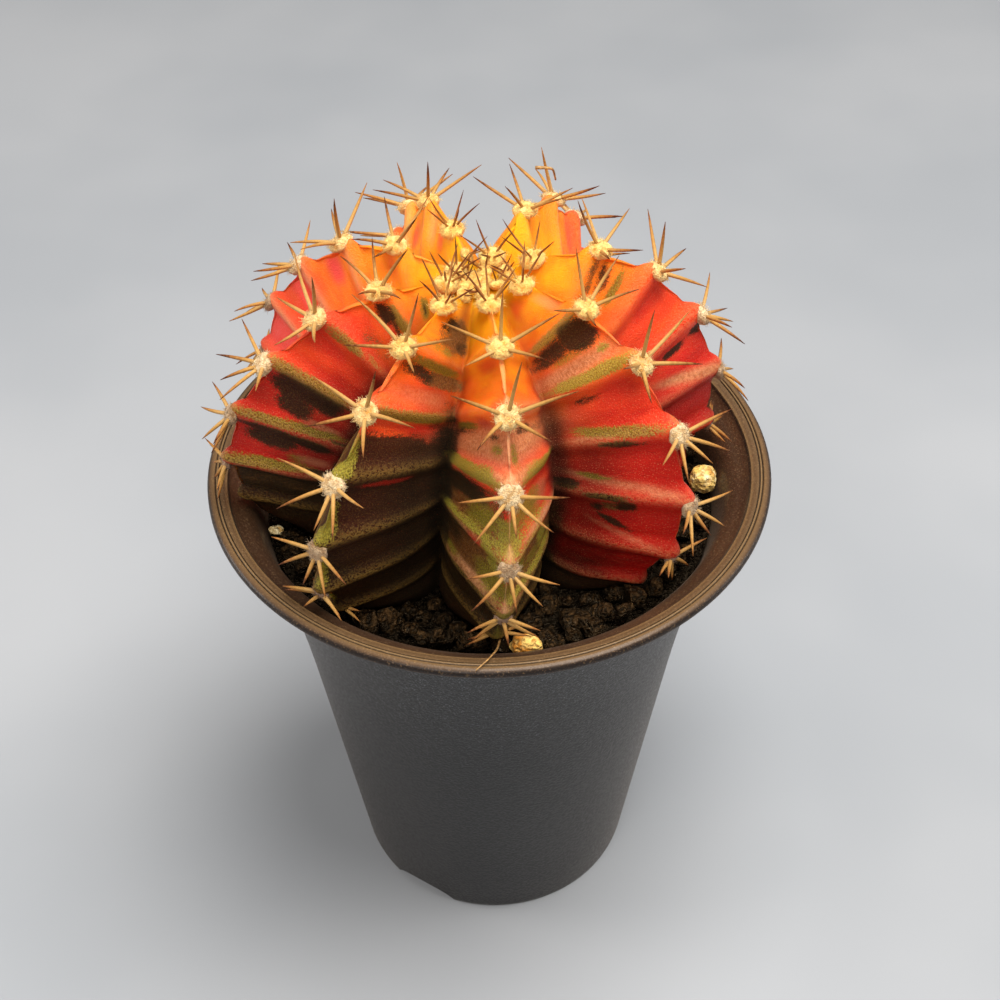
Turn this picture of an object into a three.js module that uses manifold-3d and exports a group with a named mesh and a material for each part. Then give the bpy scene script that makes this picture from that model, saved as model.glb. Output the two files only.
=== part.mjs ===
// A potted moon cactus: a globe of eight sharp ribs with woolly areoles and spines,
// standing on its own roots in a slim plastic pot with a flared, double-banded rim.
// Millimetres, +Z up. The origin is the middle of the pot's flat bottom, and -Y is the front.

import * as THREE from "three";
import { mergeVertices } from "three/addons/utils/BufferGeometryUtils.js";
import Module from "manifold-3d";

// Pot
const potHeight = 82;
const rimRadius = 40;
const footRadius = 22.4;
const wallTaper = 0.128; // gain in radius for each mm of height
const flareStart = 45; // above this height the wall curves outwards
const flareEnd = 79;
const flareReach = 2.5; // what the curve adds to the radius at flareEnd
const flarePower = 2.5;
const wallThickness = 1.05;
const floorThickness = 1.2;
const rimLip = 1.35; // height of the outer lip
const rimBand = 2.9; // width of the flat top of the rim
const rimGroove = 0.35; // depth of the groove between its two bands
const potSides = 64;
const drainCount = 3;
const drainAzimuth = -123;
const drainWidth = 11;
const drainHeight = 3.1;
const drainInnerRadius = 18;

// Soil
const soilTop = 74.6;
const fitGap = 0.35; // clearance between the soil and the pot
const crumbTries = 900;
const crumbMost = 96;
const crumbSmall = 1.2;
const crumbLarge = 2.3;
const crumbsFrom = 11; // no crumb lies nearer to the axis, where the stem stands
const padRoom = 1.2; // clearance of the soil round a low pad
const crumbSink = 0.2; // how deep a crumb's middle lies under the surface, as a share of its radius

// Stem
const axisX = -1.1;
const axisY = -0.5;
const stemHeart = 89.9; // height of the point that the folds of the flanks converge on
const rootHeart = 78; // the same near the soil, where the folds lie flatter
const stemGap = 0.6; // clearance of the plain hole in the soil
// The crest line of a rib, one point for each areole's step, from the crown down to the root tip.
const crestLine = [
  [0, 112.4],
  [8.6, 114.9],
  [17.5, 114.2],
  [25.4, 109.2],
  [31.6, 101.4],
  [34.6, 92],
  [33.7, 83.2],
  [29.7, 76.6],
  [24.6, 72.6],
  [16, 69],
  [8.4, 64.5],
  [4.5, 57],
  [0, 50],
];
// Each rib: its azimuth, how far it leans over three areoles, where its first areole lies
// and how far apart they are (in steps of the crest line), its reach and its lift.
const ribs = [
  { azimuth: -82, twist: -4, first: 0.9, step: 0.98, reach: 0.98, lift: 0.5 },
  { azimuth: -123, twist: -5, first: 1, step: 0.98, reach: 1.01, lift: -0.1 },
  { azimuth: -164, twist: -6, first: 0.54, step: 0.95, reach: 1.02, lift: -0.5 },
  { azimuth: -207, twist: 0, first: 0.42, step: 0.95, reach: 1.01, lift: -0.3 },
  { azimuth: -249, twist: 1, first: 1.1, step: 1.04, reach: 1.01, lift: -0.3 },
  { azimuth: -297, twist: -1, first: 0.55, step: 1.07, reach: 1.015, lift: 0.5 },
  { azimuth: -346, twist: -4, first: 0.88, step: 1.03, reach: 0.99, lift: 0.2 },
  { azimuth: -394, twist: -5, first: 0.79, step: 1.07, reach: 0.975, lift: 0.45 },
];
const furrowShare = 0.555; // depth of a furrow's bottom, as a share of the way out to the crest
const crownFade = 1.6; // steps over which the furrows deepen from the crown
const crestRound = 0.05; // roundness of the crest, as a share of half a rib
const flankFullness = 0.5; // how far a flank swells out of the straight
const footFullness = 1.5; // the same near the soil
// Stretches of the crest line, from step to step, over which the shape changes.
const crownRange = [0, 1.2]; // the middle of the crown is round
const flatterRange = [5, 8]; // the folds come to lie flatter
const closingRange = [6, 10.5]; // the furrows close towards the root
const tipRange = [10, 12]; // the root's tip is round
const evenRange = [7, 9]; // rows that follow each rib's own areoles turn into level rows
const foldStart = [0.8, 2];
const foldEnd = [6.9, 7.4];
const swellStart = [0.5, 2];
const swellFoot = [4, 7];
const swellEnd = [8, 10];
// Height of the skin over one areole's step: a dent under the areole, a plain face, a chin above the next.
const foldLine = [
  [0, -0.2],
  [0.15, -1.4],
  [0.45, -1],
  [0.66, -0.9],
  [0.86, 0.4],
  [1, -0.2],
];
const foldRows = [0, 0.15, 0.45, 0.66, 0.86];
const crownRows = [0, 0.3, 0.6, 0.85];
const rootRows = [7, 7.2, 7.6, 8, 8.5, 9, 9.5, 10, 10.6, 11.3, 12];
const columnsOfRib = [0, 0.07, 0.27, 0.5, 0.73, 0.93];
const areolesPerRib = 7;

// Areoles and spines
const padSide = 1.95;
const padAlong = 2.1;
const padOut = 1.3;
const padWorn = 0.6; // size of the lowest, oldest pads, as a share
const padLowest = 77; // an areole lower than this is bare of wool and spines
const spineRadius = 0.4;
const spineLengthCrown = 4.8;
const spineLengthFull = 6.9;
const spineLengthLow = 3.4;
const fullRange = [1, 2]; // rows in which the spines reach their full length
const lowRange = [3, 7]; // rows in which they shorten again
const spineFloor = soilTop + 2.6; // no spine reaches lower than this
const rimClear = 0.8; // distance that spines keep from the pot
// How unevenly spines grow: degrees around the areole, degrees of lean, share of the length.
const spineTurn = 7;
const spineLean = 6;
const spineUneven = 0.12;
// Last row that has these spines, and for each spine its direction around the areole from straight
// down (degrees), its lean out of the skin (degrees) and its share of the length.
const spineSets = [
  {
    lastRow: 1,
    spines: [
      [40, 48, 0.8],
      [-48, 48, 0.85],
      [112, 50, 1],
      [-108, 46, 1],
      [178, 62, 0.9],
    ],
  },
  {
    lastRow: 3,
    spines: [
      [52, 26, 0.8],
      [-50, 28, 0.85],
      [104, 28, 1],
      [-100, 26, 1.05],
      [-168, 52, 0.95],
    ],
  },
  {
    lastRow: 7,
    spines: [
      [-6, 36, 0.7],
      [48, 27, 0.95],
      [-46, 28, 0.95],
      [94, 24, 0.95],
      [-92, 24, 1.05],
    ],
  },
];

// Loose grains on the soil: place, half sizes.
const grains = [
  { name: "grit_right", at: [30.9, 0.2], half: [2.15, 2.2, 1.95], seed: 5 },
  { name: "grit_front", at: [4.4, -30.5], half: [2.35, 1.5, 1.5], seed: 9 },
  { name: "grit_left", at: [-30.4, -7.6], half: [1.2, 0.8, 0.6], seed: 12 },
];
const grainGap = 0.3;

const degree = Math.PI / 180;
const wasm = await Module();
wasm.setup();

const potMaterial = new THREE.MeshStandardMaterial({ color: "#35373a", roughness: 0.6, metalness: 0 });
const soilMaterial = new THREE.MeshStandardMaterial({ color: "#2a211b", roughness: 0.9, metalness: 0 });
const plantMaterial = new THREE.MeshStandardMaterial({ color: "#c8472f", roughness: 0.45, metalness: 0 });
const grainMaterial = new THREE.MeshStandardMaterial({ color: "#cfae6a", roughness: 0.9, metalness: 0 });

// A repeatable row of random numbers from 0 to 1.
function seededRandom(seed) {
  let state = seed;
  return () => {
    state = (state + 0x6d2b79f5) | 0;
    let t = Math.imul(state ^ (state >>> 15), 1 | state);
    t = (t + Math.imul(t ^ (t >>> 7), 61 | t)) ^ t;
    return ((t ^ (t >>> 14)) >>> 0) / 4294967296;
  };
}

const mix = (a, b, share) => a + (b - a) * share;

function smoothstep(low, high, x) {
  const t = Math.min(Math.max((x - low) / (high - low), 0), 1);
  return t * t * (3 - 2 * t);
}

// A closed three.js geometry as a solid that can be joined and cut.
function toSolid(geometry) {
  const plain = new THREE.BufferGeometry();
  plain.setAttribute("position", geometry.getAttribute("position"));
  if (geometry.getIndex()) plain.setIndex(geometry.getIndex());
  const merged = mergeVertices(plain, 1e-4);
  const index = merged.getIndex().array;
  const kept = [];
  for (let i = 0; i < index.length; i += 3) {
    const [a, b, c] = [index[i], index[i + 1], index[i + 2]];
    if (a !== b && b !== c && c !== a) kept.push(a, b, c);
  }
  return new wasm.Manifold(
    new wasm.Mesh({
      numProp: 3,
      vertProperties: new Float32Array(merged.getAttribute("position").array),
      triVerts: new Uint32Array(kept),
    }),
  );
}

function toMesh(solid, name, material) {
  const made = solid.getMesh();
  const geometry = new THREE.BufferGeometry();
  geometry.setAttribute("position", new THREE.BufferAttribute(new Float32Array(made.vertProperties), 3));
  geometry.setIndex(new THREE.BufferAttribute(new Uint32Array(made.triVerts), 1));
  geometry.computeVertexNormals();
  const mesh = new THREE.Mesh(geometry, material);
  mesh.name = name;
  return mesh;
}

// Only the largest closed surface of a solid: loose scraps are dropped and sealed hollows filled.
function largestBody(solid) {
  const bodies = solid.decompose();
  bodies.sort((a, b) => b.volume() - a.volume());
  return bodies[0];
}

// A profile of [radius, height] points turned round the Z axis.
function turned(profile) {
  const points = profile.map(([radius, height]) => new THREE.Vector2(radius, height));
  return new THREE.LatheGeometry(points, potSides).rotateX(Math.PI / 2);
}

// Pot

function wallRadius(height) {
  const flare = Math.max(0, (height - flareStart) / (flareEnd - flareStart));
  return footRadius + wallTaper * height + flareReach * flare ** flarePower;
}

const innerRadius = (height) => wallRadius(height) - wallThickness;

function potSolid() {
  const outerHeights = [1.2, 20, 42, 52, 60, 67, 73, flareEnd];
  const innerHeights = [78, 73, 66, 56, 42, 20, floorThickness];
  const lipBottom = potHeight - rimLip;
  const bandMiddle = rimRadius - rimBand * 0.43;
  const profile = [
    [0, 0],
    [footRadius - 0.6, 0],
    [footRadius - 0.1, 0.35],
    ...outerHeights.map((height) => [wallRadius(height), height]),
    [rimRadius - rimBand + 0.2, lipBottom - 0.2],
    [rimRadius - 0.5, lipBottom],
    [rimRadius, lipBottom + 0.45],
    [rimRadius - 0.1, potHeight - 0.35],
    [rimRadius - 0.45, potHeight],
    [bandMiddle + 0.2, potHeight - 0.05],
    [bandMiddle, potHeight - rimGroove],
    [bandMiddle - 0.25, potHeight - 0.15],
    [rimRadius - rimBand, potHeight - 0.25],
    [innerRadius(flareEnd) + 1.4, potHeight - 1.5],
    ...innerHeights.map((height) => [innerRadius(height), height]),
    [0, floorThickness],
  ];
  const pot = toSolid(turned(profile));
  return pot.subtract(drainNotches());
}

// Low arches cut through the foot of the wall and the edge of the floor.
function drainNotches() {
  const arch = new THREE.Shape();
  arch.moveTo(-drainWidth / 2, -1);
  arch.lineTo(drainWidth / 2, -1);
  arch.absellipse(0, 0, drainWidth / 2, drainHeight, 0, Math.PI, false);
  arch.closePath();
  let notches = null;
  for (let i = 0; i < drainCount; i++) {
    const azimuth = (drainAzimuth + (i * 360) / drainCount) * degree;
    const notch = new THREE.ExtrudeGeometry(arch, { depth: 8, bevelEnabled: false, curveSegments: 8 });
    notch.rotateX(Math.PI / 2);
    notch.translate(0, -drainInnerRadius, 0);
    notch.rotateZ(azimuth + Math.PI / 2);
    const solid = toSolid(notch);
    notches = notches ? notches.add(solid) : solid;
  }
  return notches;
}

// Stem

const crestCurve = new THREE.SplineCurve(crestLine.map(([r, z]) => new THREE.Vector2(r, z)));

function crestPoint(step) {
  return crestCurve.getPoint(Math.min(Math.max(step / (crestLine.length - 1), 0), 1));
}

// Where row v of a rib lies on the crest line. Areole number n lies on row n.
function stepOfRow(rib, v) {
  const own = v < 1 ? rib.first * v : rib.first + (v - 1) * rib.step;
  return mix(own, v, smoothstep(...evenRange, v));
}

function foldHeight(v) {
  const share = v - Math.floor(v);
  let i = 1;
  while (share > foldLine[i][0]) i++;
  const [from, to] = [foldLine[i - 1], foldLine[i]];
  const height = mix(from[1], to[1], (share - from[0]) / (to[0] - from[0]));
  return height * smoothstep(...foldStart, v) * (1 - smoothstep(...foldEnd, v));
}

// How far the flanks swell out of the straight on row v.
function fullnessOf(v) {
  const grown = flankFullness * smoothstep(...swellStart, v);
  return mix(grown, footFullness, smoothstep(...swellFoot, v)) * (1 - smoothstep(...swellEnd, v));
}

// The stem's surface with straight flanks. The column counts ribs, with the furrows at the halves.
function straightSkin(column, v) {
  const wrapped = (column + ribs.length) % ribs.length;
  const number = Math.floor(wrapped);
  const across = wrapped - number;
  const left = ribs[number];
  const right = ribs[(number + 1) % ribs.length];
  const lap = number + 1 === ribs.length ? -360 : 0;
  const blend = smoothstep(0, 1, across);
  const stepLeft = stepOfRow(left, v);
  const stepRight = stepOfRow(right, v);
  const step = mix(stepLeft, stepRight, blend);
  const azimuthLeft = left.azimuth + (left.twist * (stepLeft - 3)) / 3;
  const azimuthRight = right.azimuth + lap + (right.twist * (stepRight - 3)) / 3;
  const azimuth = mix(azimuthLeft, azimuthRight, across) * degree;
  const halfGap = (Math.abs(azimuthLeft - azimuthRight) / 2) * degree;

  const fromCrest = 1 - Math.abs(1 - 2 * across);
  const rounded = Math.hypot(fromCrest, crestRound) - crestRound;
  const t = rounded / (Math.hypot(1, crestRound) - crestRound);
  const closing = smoothstep(...closingRange, step);
  const depth = furrowShare + (1 - furrowShare) * Math.max(Math.exp(-step / crownFade), closing);
  const chord = (depth * Math.sin(halfGap)) / (Math.sin(t * halfGap) + depth * Math.sin((1 - t) * halfGap));
  const round = Math.max(1 - smoothstep(...crownRange, step), smoothstep(...tipRange, step));
  const out = mix(chord, 1, round);

  const crest = crestPoint(step);
  const radius = out * crest.x * mix(left.reach, right.reach, blend);
  const liftShare = Math.min(step / 4, 1) * (1 - smoothstep(...swellEnd, step));
  const lift = mix(left.lift, right.lift, blend) * liftShare;
  const heart = mix(stemHeart, rootHeart, smoothstep(...flatterRange, step));
  const height = heart + out * (crest.y + lift - heart);
  return new THREE.Vector3(
    axisX + radius * Math.cos(azimuth),
    axisY + radius * Math.sin(azimuth),
    height,
  );
}

function skinNormal(column, v) {
  const h = 0.01;
  const across = straightSkin(column + h, v).sub(straightSkin(column - h, v));
  const down = straightSkin(column, v + h).sub(straightSkin(column, v - h));
  return down.cross(across).negate().normalize();
}

// The stem's surface, raised by a distance.
function raisedSkin(column, v, distance) {
  const point = straightSkin(column, v);
  if (v === 0 || v === rootRows[rootRows.length - 1]) {
    point.z += v === 0 ? distance : -distance;
    return point;
  }
  const fromCrest = 1 - Math.abs(1 - 2 * (column - Math.floor(column)));
  const fullness = fullnessOf(v) * Math.sin(Math.PI * fromCrest);
  return point.addScaledVector(skinNormal(column, v), fullness + distance);
}

function skin(column, v) {
  const fromCrest = 1 - Math.abs(1 - 2 * (column - Math.floor(column)));
  return raisedSkin(column, v, foldHeight(v) * mix(1, 0.3, fromCrest));
}

function stemRows() {
  const rows = [...crownRows];
  for (let areole = 1; areole < areolesPerRib; areole++) {
    for (const share of foldRows) rows.push(areole + share);
  }
  return [...rows, ...rootRows];
}

// A sphere's net of vertices, each moved to its place on the skin.
function stemGeometry(place) {
  const rows = stemRows();
  const columns = ribs.length * columnsOfRib.length;
  const net = new THREE.SphereGeometry(1, columns, rows.length - 1);
  const position = net.getAttribute("position");
  for (let row = 0; row < rows.length; row++) {
    for (let i = 0; i <= columns; i++) {
      const slot = (columns - i) % columns;
      const rib = Math.floor(slot / columnsOfRib.length);
      const point = place(rib + columnsOfRib[slot % columnsOfRib.length], rows[row]);
      position.setXYZ(row * (columns + 1) + i, point.x, point.y, point.z);
    }
  }
  return net;
}

// Areoles and spines

// The frame of each areole: its place, and the directions out, down along the crest and sideways.
function areoles() {
  const list = [];
  ribs.forEach((rib, number) => {
    for (let row = 1; row <= areolesPerRib; row++) {
      const place = straightSkin(number, row);
      if (place.z < padLowest) continue;
      const out = skinNormal(number, row);
      const down = straightSkin(number, row + 0.05).sub(straightSkin(number, row - 0.05)).normalize();
      const side = new THREE.Vector3().crossVectors(down, out).normalize();
      list.push({ place, out, down, side, row });
    }
  });
  return list;
}

// True if a point keeps clear of the soil, the pot's wall and rim, and the loose grains.
function isClear(point) {
  if (point.z < spineFloor) return false;
  const radius = Math.hypot(point.x, point.y);
  if (point.z < potHeight + rimClear) {
    const wall = point.z > flareEnd ? innerRadius(flareEnd) : innerRadius(point.z);
    if (radius > wall - rimClear) return false;
  }
  return grains.every(({ at, half }) => {
    const away = Math.hypot(point.x - at[0], point.y - at[1]);
    return away > half[0] + rimClear || point.z > soilTop + 2 * half[2] + rimClear;
  });
}

// The tip of a spine, lifted step by step until the whole spine is clear, or null if none is.
function clearTip(from, direction, length) {
  const up = new THREE.Vector3(0, 0, 1);
  const samples = [0.25, 0.4, 0.55, 0.7, 0.85, 1];
  for (let lift = 0; lift <= 1.6; lift += 0.1) {
    const bent = direction.clone().addScaledVector(up, lift).normalize();
    const ends = samples.map((share) => from.clone().addScaledVector(bent, length * share));
    if (ends.every(isClear)) return ends[ends.length - 1];
  }
  return null;
}

// The directions and lengths of an areole's spines, in the part's own frame.
function spinesOf(areole, random) {
  const grown = mix(spineLengthFull, spineLengthLow, smoothstep(...lowRange, areole.row));
  const length = mix(spineLengthCrown, grown, smoothstep(...fullRange, areole.row));
  const { spines } = spineSets.find(({ lastRow }) => areole.row <= lastRow);
  return spines.map(([around, lean, share]) => {
    const turn = (around + mix(-spineTurn, spineTurn, random())) * degree;
    const tilt = (lean + mix(-spineLean, spineLean, random())) * degree;
    const reach = length * share * (1 + mix(-spineUneven, spineUneven, random()));
    const direction = areole.down.clone().multiplyScalar(Math.cos(turn) * Math.cos(tilt));
    direction.addScaledVector(areole.side, Math.sin(turn) * Math.cos(tilt));
    direction.addScaledVector(areole.out, Math.sin(tilt));
    return { direction, reach };
  });
}

// A woolly pad with its spines in one closed surface. The pad is a twenty-sided solid, and each
// spine is a three-sided needle that grows out of the side facing its way.
function tuftSolid(areole, random) {
  const { place, out, down, side, row } = areole;
  const worn = mix(1, padWorn, smoothstep(5.5, 7, row));
  const pad = new THREE.IcosahedronGeometry(worn, 0).scale(padSide, padAlong, padOut);
  pad.translate(0, 0, worn - 1);
  pad.applyMatrix4(new THREE.Matrix4().makeBasis(side, down, out).setPosition(place));
  const position = pad.getAttribute("position");
  const corner = (i) => new THREE.Vector3().fromBufferAttribute(position, i);
  const faces = [];
  for (let i = 0; i < position.count; i += 3) {
    const corners = [corner(i), corner(i + 1), corner(i + 2)];
    const middle = corners[0].clone().add(corners[1]).add(corners[2]).divideScalar(3);
    faces.push({ corners, middle, facing: middle.clone().sub(place).normalize(), tip: null });
  }
  for (const { direction, reach } of spinesOf(areole, random)) {
    const free = faces.filter((face) => !face.tip);
    free.sort((a, b) => b.facing.dot(direction) - a.facing.dot(direction));
    free[0].tip = clearTip(free[0].middle, direction, reach);
  }
  const points = [];
  for (const { corners, middle, tip } of faces) {
    if (!tip) {
      points.push(...corners);
      continue;
    }
    const share = spineRadius / corners[0].distanceTo(middle);
    const root = corners.map((point) => middle.clone().lerp(point, share));
    for (let i = 0; i < 3; i++) {
      const next = (i + 1) % 3;
      points.push(corners[i], corners[next], root[next]);
      points.push(corners[i], root[next], root[i]);
      points.push(root[i], root[next], tip);
    }
  }
  return toSolid(new THREE.BufferGeometry().setFromPoints(points));
}

function cactusSolid() {
  const random = seededRandom(41);
  let cactus = toSolid(stemGeometry(skin));
  for (const areole of areoles()) cactus = cactus.add(tuftSolid(areole, random));
  return largestBody(cactus);
}

// Soil and grains

// An uneven lump: a twenty-sided solid with each corner pushed in or out.
function lump(half, random, detail) {
  const shape = new THREE.IcosahedronGeometry(1, detail);
  shape.deleteAttribute("normal");
  shape.deleteAttribute("uv");
  const merged = mergeVertices(shape, 1e-4);
  const position = merged.getAttribute("position");
  for (let i = 0; i < position.count; i++) {
    const push = mix(0.8, 1, random());
    position.setXYZ(i, position.getX(i) * push, position.getY(i) * push, position.getZ(i) * push);
  }
  merged.rotateX(random() * Math.PI).rotateZ(random() * Math.PI);
  return merged.scale(half[0], half[1], half[2]);
}

function crumbs(random) {
  const placedCrumbs = [];
  const solids = [];
  for (let i = 0; i < crumbTries && solids.length < crumbMost; i++) {
    const size = mix(crumbSmall, crumbLarge, random());
    const azimuth = random() * 2 * Math.PI;
    const radius = Math.sqrt(random()) * (innerRadius(soilTop) - fitGap - size);
    const [x, y] = [radius * Math.cos(azimuth), radius * Math.sin(azimuth)];
    const shape = lump([size, size, size * 0.8], random, 0);
    const touches = (other) => Math.hypot(other.x - x, other.y - y) < 0.75 * (other.size + size);
    const crowded = placedCrumbs.some(touches);
    const underGrain = grains.some(({ at, half }) => {
      return Math.hypot(at[0] - x, at[1] - y) < Math.max(half[0], half[1]) + size + grainGap;
    });
    const underStem = radius < crumbsFrom;
    if (crowded || underGrain || underStem) continue;
    placedCrumbs.push({ x, y, size });
    solids.push(toSolid(shape.translate(x, y, soilTop - crumbSink * size)));
  }
  return solids;
}

function soilSolid() {
  const heights = [20, 42, 56, 66, soilTop];
  const bottom = floorThickness + fitGap;
  const profile = [
    [0, bottom],
    [innerRadius(bottom) - fitGap, bottom],
    ...heights.map((height) => [innerRadius(height) - fitGap, height]),
    [0, soilTop],
  ];
  let soil = toSolid(turned(profile));
  for (const crumb of crumbs(seededRandom(7))) soil = soil.add(crumb);
  soil = soil.subtract(toSolid(stemGeometry((column, v) => raisedSkin(column, v, stemGap))));
  const lowPads = areoles().filter(({ place }) => place.z < soilTop + 2 * padAlong + padRoom);
  for (const { place } of lowPads) {
    const room = new THREE.IcosahedronGeometry(padAlong + padRoom, 0).translate(place.x, place.y, place.z);
    soil = soil.subtract(toSolid(room));
  }
  return largestBody(soil);
}

function grainSolid({ at, half, seed }) {
  const shape = lump(half, seededRandom(seed), 1);
  shape.computeBoundingBox();
  const lift = soilTop + grainGap - shape.boundingBox.min.z;
  return toSolid(shape.translate(at[0], at[1], lift));
}

const part = new THREE.Group();
part.add(toMesh(potSolid(), "pot", potMaterial));
part.add(toMesh(soilSolid(), "soil", soilMaterial));
part.add(toMesh(cactusSolid(), "cactus", plantMaterial));
for (const grain of grains) part.add(toMesh(grainSolid(grain), grain.name, grainMaterial));

export default part;
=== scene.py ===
import math

import bmesh
import bpy
import numpy as np
from mathutils import Matrix, Vector, noise
from mathutils.kdtree import KDTree


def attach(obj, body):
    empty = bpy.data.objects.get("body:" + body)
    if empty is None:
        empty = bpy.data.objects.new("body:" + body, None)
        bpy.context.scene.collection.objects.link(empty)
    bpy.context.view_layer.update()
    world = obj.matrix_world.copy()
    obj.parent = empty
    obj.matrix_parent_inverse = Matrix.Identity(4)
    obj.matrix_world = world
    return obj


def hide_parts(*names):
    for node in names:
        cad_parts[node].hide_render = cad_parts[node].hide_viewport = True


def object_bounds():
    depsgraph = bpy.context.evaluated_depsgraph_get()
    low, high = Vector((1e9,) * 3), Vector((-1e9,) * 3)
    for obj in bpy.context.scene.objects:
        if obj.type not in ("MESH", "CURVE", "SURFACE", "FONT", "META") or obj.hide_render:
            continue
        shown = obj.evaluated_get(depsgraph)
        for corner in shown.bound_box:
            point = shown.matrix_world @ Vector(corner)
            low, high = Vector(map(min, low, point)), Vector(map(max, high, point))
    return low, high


# A potted moon cactus. Lengths are in millimetres until a mesh is finished, and metres after that.

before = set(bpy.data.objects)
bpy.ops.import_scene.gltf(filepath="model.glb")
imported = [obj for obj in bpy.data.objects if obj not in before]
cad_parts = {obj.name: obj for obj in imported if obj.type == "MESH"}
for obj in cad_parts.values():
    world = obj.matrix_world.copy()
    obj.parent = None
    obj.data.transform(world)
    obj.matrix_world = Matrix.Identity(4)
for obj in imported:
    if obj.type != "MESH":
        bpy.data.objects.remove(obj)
cadBox = [list(corner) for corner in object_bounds()]
mm = 0.001
print("frame loaded")

# Small helpers


def addObject(name, data):
    made = bpy.data.objects.new(name, data)
    bpy.context.scene.collection.objects.link(made)
    return made


def meshOf(bm, name):
    mesh = bpy.data.meshes.new(name)
    bm.to_mesh(mesh)
    bm.free()
    return mesh


def mix(low, high, share):
    return low + (high - low) * share


def smoothstep(low, high, x):
    t = np.clip((x - low) / (high - low), 0, 1)
    return t * t * (3 - 2 * t)


# Rises from 0 to 1 between the first two numbers and falls again between the last two.
def plateau(start, full, fade, end, x):
    return smoothstep(start, full, x) * (1 - smoothstep(fade, end, x))


def unit(vectors):
    return vectors / np.maximum(np.linalg.norm(vectors, axis=-1, keepdims=True), 1e-9)


# Repeatable numbers from 0 to 1, made the way that the solids' spines and crumbs were placed.
def seededRandom(seed):
    word, stride = 0xFFFFFFFF, 0x6D2B79F5
    state = [seed]

    def draw():
        state[0] = (state[0] + stride) & word
        t = ((state[0] ^ (state[0] >> 15)) * (1 | state[0])) & word
        t = ((t + (((t ^ (t >> 7)) * (61 | t)) & word)) & word) ^ t
        return (t ^ (t >> 14)) / (word + 1)

    return draw


# The linear colour of a code such as "#c2883a".
def colour(code):
    parts = [int(code[i : i + 2], 16) / 255 for i in (1, 3, 5)]
    return (*[p / 12.92 if p <= 0.04045 else ((p + 0.055) / 1.055) ** 2.4 for p in parts], 1)


# Turns a bmesh in millimetres into a finished piece in metres.
def finishPiece(bm, name, slot, material, replaces=(), smooth=True, sharpAngle=None):
    if sharpAngle is not None:
        for edge in bm.edges:
            if len(edge.link_faces) == 2 and edge.calc_face_angle(0) > math.radians(sharpAngle):
                edge.smooth = False
    for face in bm.faces:
        face.smooth = smooth
    bmesh.ops.scale(bm, vec=(mm, mm, mm), verts=bm.verts)
    mesh = meshOf(bm, name)
    mesh.materials.append(material)
    piece = addObject(name, mesh)
    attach(piece, "root")
    if replaces:
        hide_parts(*replaces)
    print(name, "made,", len(mesh.polygons), "faces")
    return piece


# Keeps rows of numbers with a mesh, one number for each vertex.
def addNumbers(mesh, numbers):
    for name, values in numbers.items():
        layer = mesh.attributes.new(name, "FLOAT", "POINT")
        layer.data.foreach_set("value", values.astype(np.float32))


# View and light

view = {"place": (0, -168.3, 236.0), "down": 44.03, "turn": 0.5, "roll": -0.61, "lens": 57.6}
lampTarget = (0, 0, 80)
lamps = {
    "above": {"place": (130, -30, 680), "size": 460, "power": 6.5, "colour": (1.0, 0.97, 0.92)},
    "front": {"place": (-140, -430, 480), "size": 380, "power": 1.3, "colour": (1.0, 0.95, 0.88)},
    "left": {"place": (-540, 60, 240), "size": 300, "power": 1.5, "colour": (1.0, 0.95, 0.9)},
    "right": {"place": (540, 40, 240), "size": 300, "power": 0.8, "colour": (1.0, 0.95, 0.9)},
}
room = {"colour": (0.96, 0.95, 0.93, 1), "strength": 0.2}
table = {"half": 1600, "colour": "#a4a7ac", "grain": "#989ca2"}


def makeCamera():
    down, turn, roll = (math.radians(view[key]) for key in ("down", "turn", "roll"))
    ahead = Vector((math.sin(turn) * math.cos(down), math.cos(turn) * math.cos(down), -math.sin(down)))
    level = Vector((math.cos(turn), -math.sin(turn), 0))
    above = level.cross(ahead)
    right = math.cos(roll) * level + math.sin(roll) * above
    up = math.cos(roll) * above - math.sin(roll) * level
    camera = addObject("camera", bpy.data.cameras.new("camera"))
    camera.data.lens = view["lens"]
    camera.data.sensor_width = 36
    camera.data.clip_start = 0.01
    camera.matrix_world = Matrix.Translation(Vector(view["place"]) * mm) @ Matrix(
        ((right.x, up.x, -ahead.x), (right.y, up.y, -ahead.y), (right.z, up.z, -ahead.z))
    ).to_4x4()
    bpy.context.scene.camera = camera


def makeLamps():
    target = Vector(lampTarget) * mm
    for name, lamp in lamps.items():
        data = bpy.data.lights.new(name, "AREA")
        data.shape = "DISK"
        data.size = lamp["size"] * mm
        data.energy = lamp["power"]
        data.color = lamp["colour"]
        lampObject = addObject(name, data)
        lampObject.location = Vector(lamp["place"]) * mm
        lampObject.rotation_euler = (target - lampObject.location).to_track_quat("-Z", "Y").to_euler()
    world = bpy.data.worlds.new("room")
    world.use_nodes = True
    background = world.node_tree.nodes["Background"]
    background.inputs["Color"].default_value = room["colour"]
    background.inputs["Strength"].default_value = room["strength"]
    bpy.context.scene.world = world
    bpy.context.scene.view_settings.view_transform = "Standard"


makeCamera()
makeLamps()
print("camera and lamps placed")

# Helpers for materials


# Links each of a node's sockets to another socket, or sets its number or its colour.
def plug(tree, node, values):
    for key, value in values.items():
        socket = node.inputs[key]
        if isinstance(value, bpy.types.NodeSocket):
            tree.links.new(value, socket)
        else:
            socket.default_value = colour(value) if isinstance(value, str) else value


# A material whose look is a function that makes the nodes and gives back the shader's values.
def makeMaterial(name, look):
    material = bpy.data.materials.new(name)
    material.use_nodes = True
    tree = material.node_tree
    plug(tree, tree.nodes["Principled BSDF"], look(tree))
    return material


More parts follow.
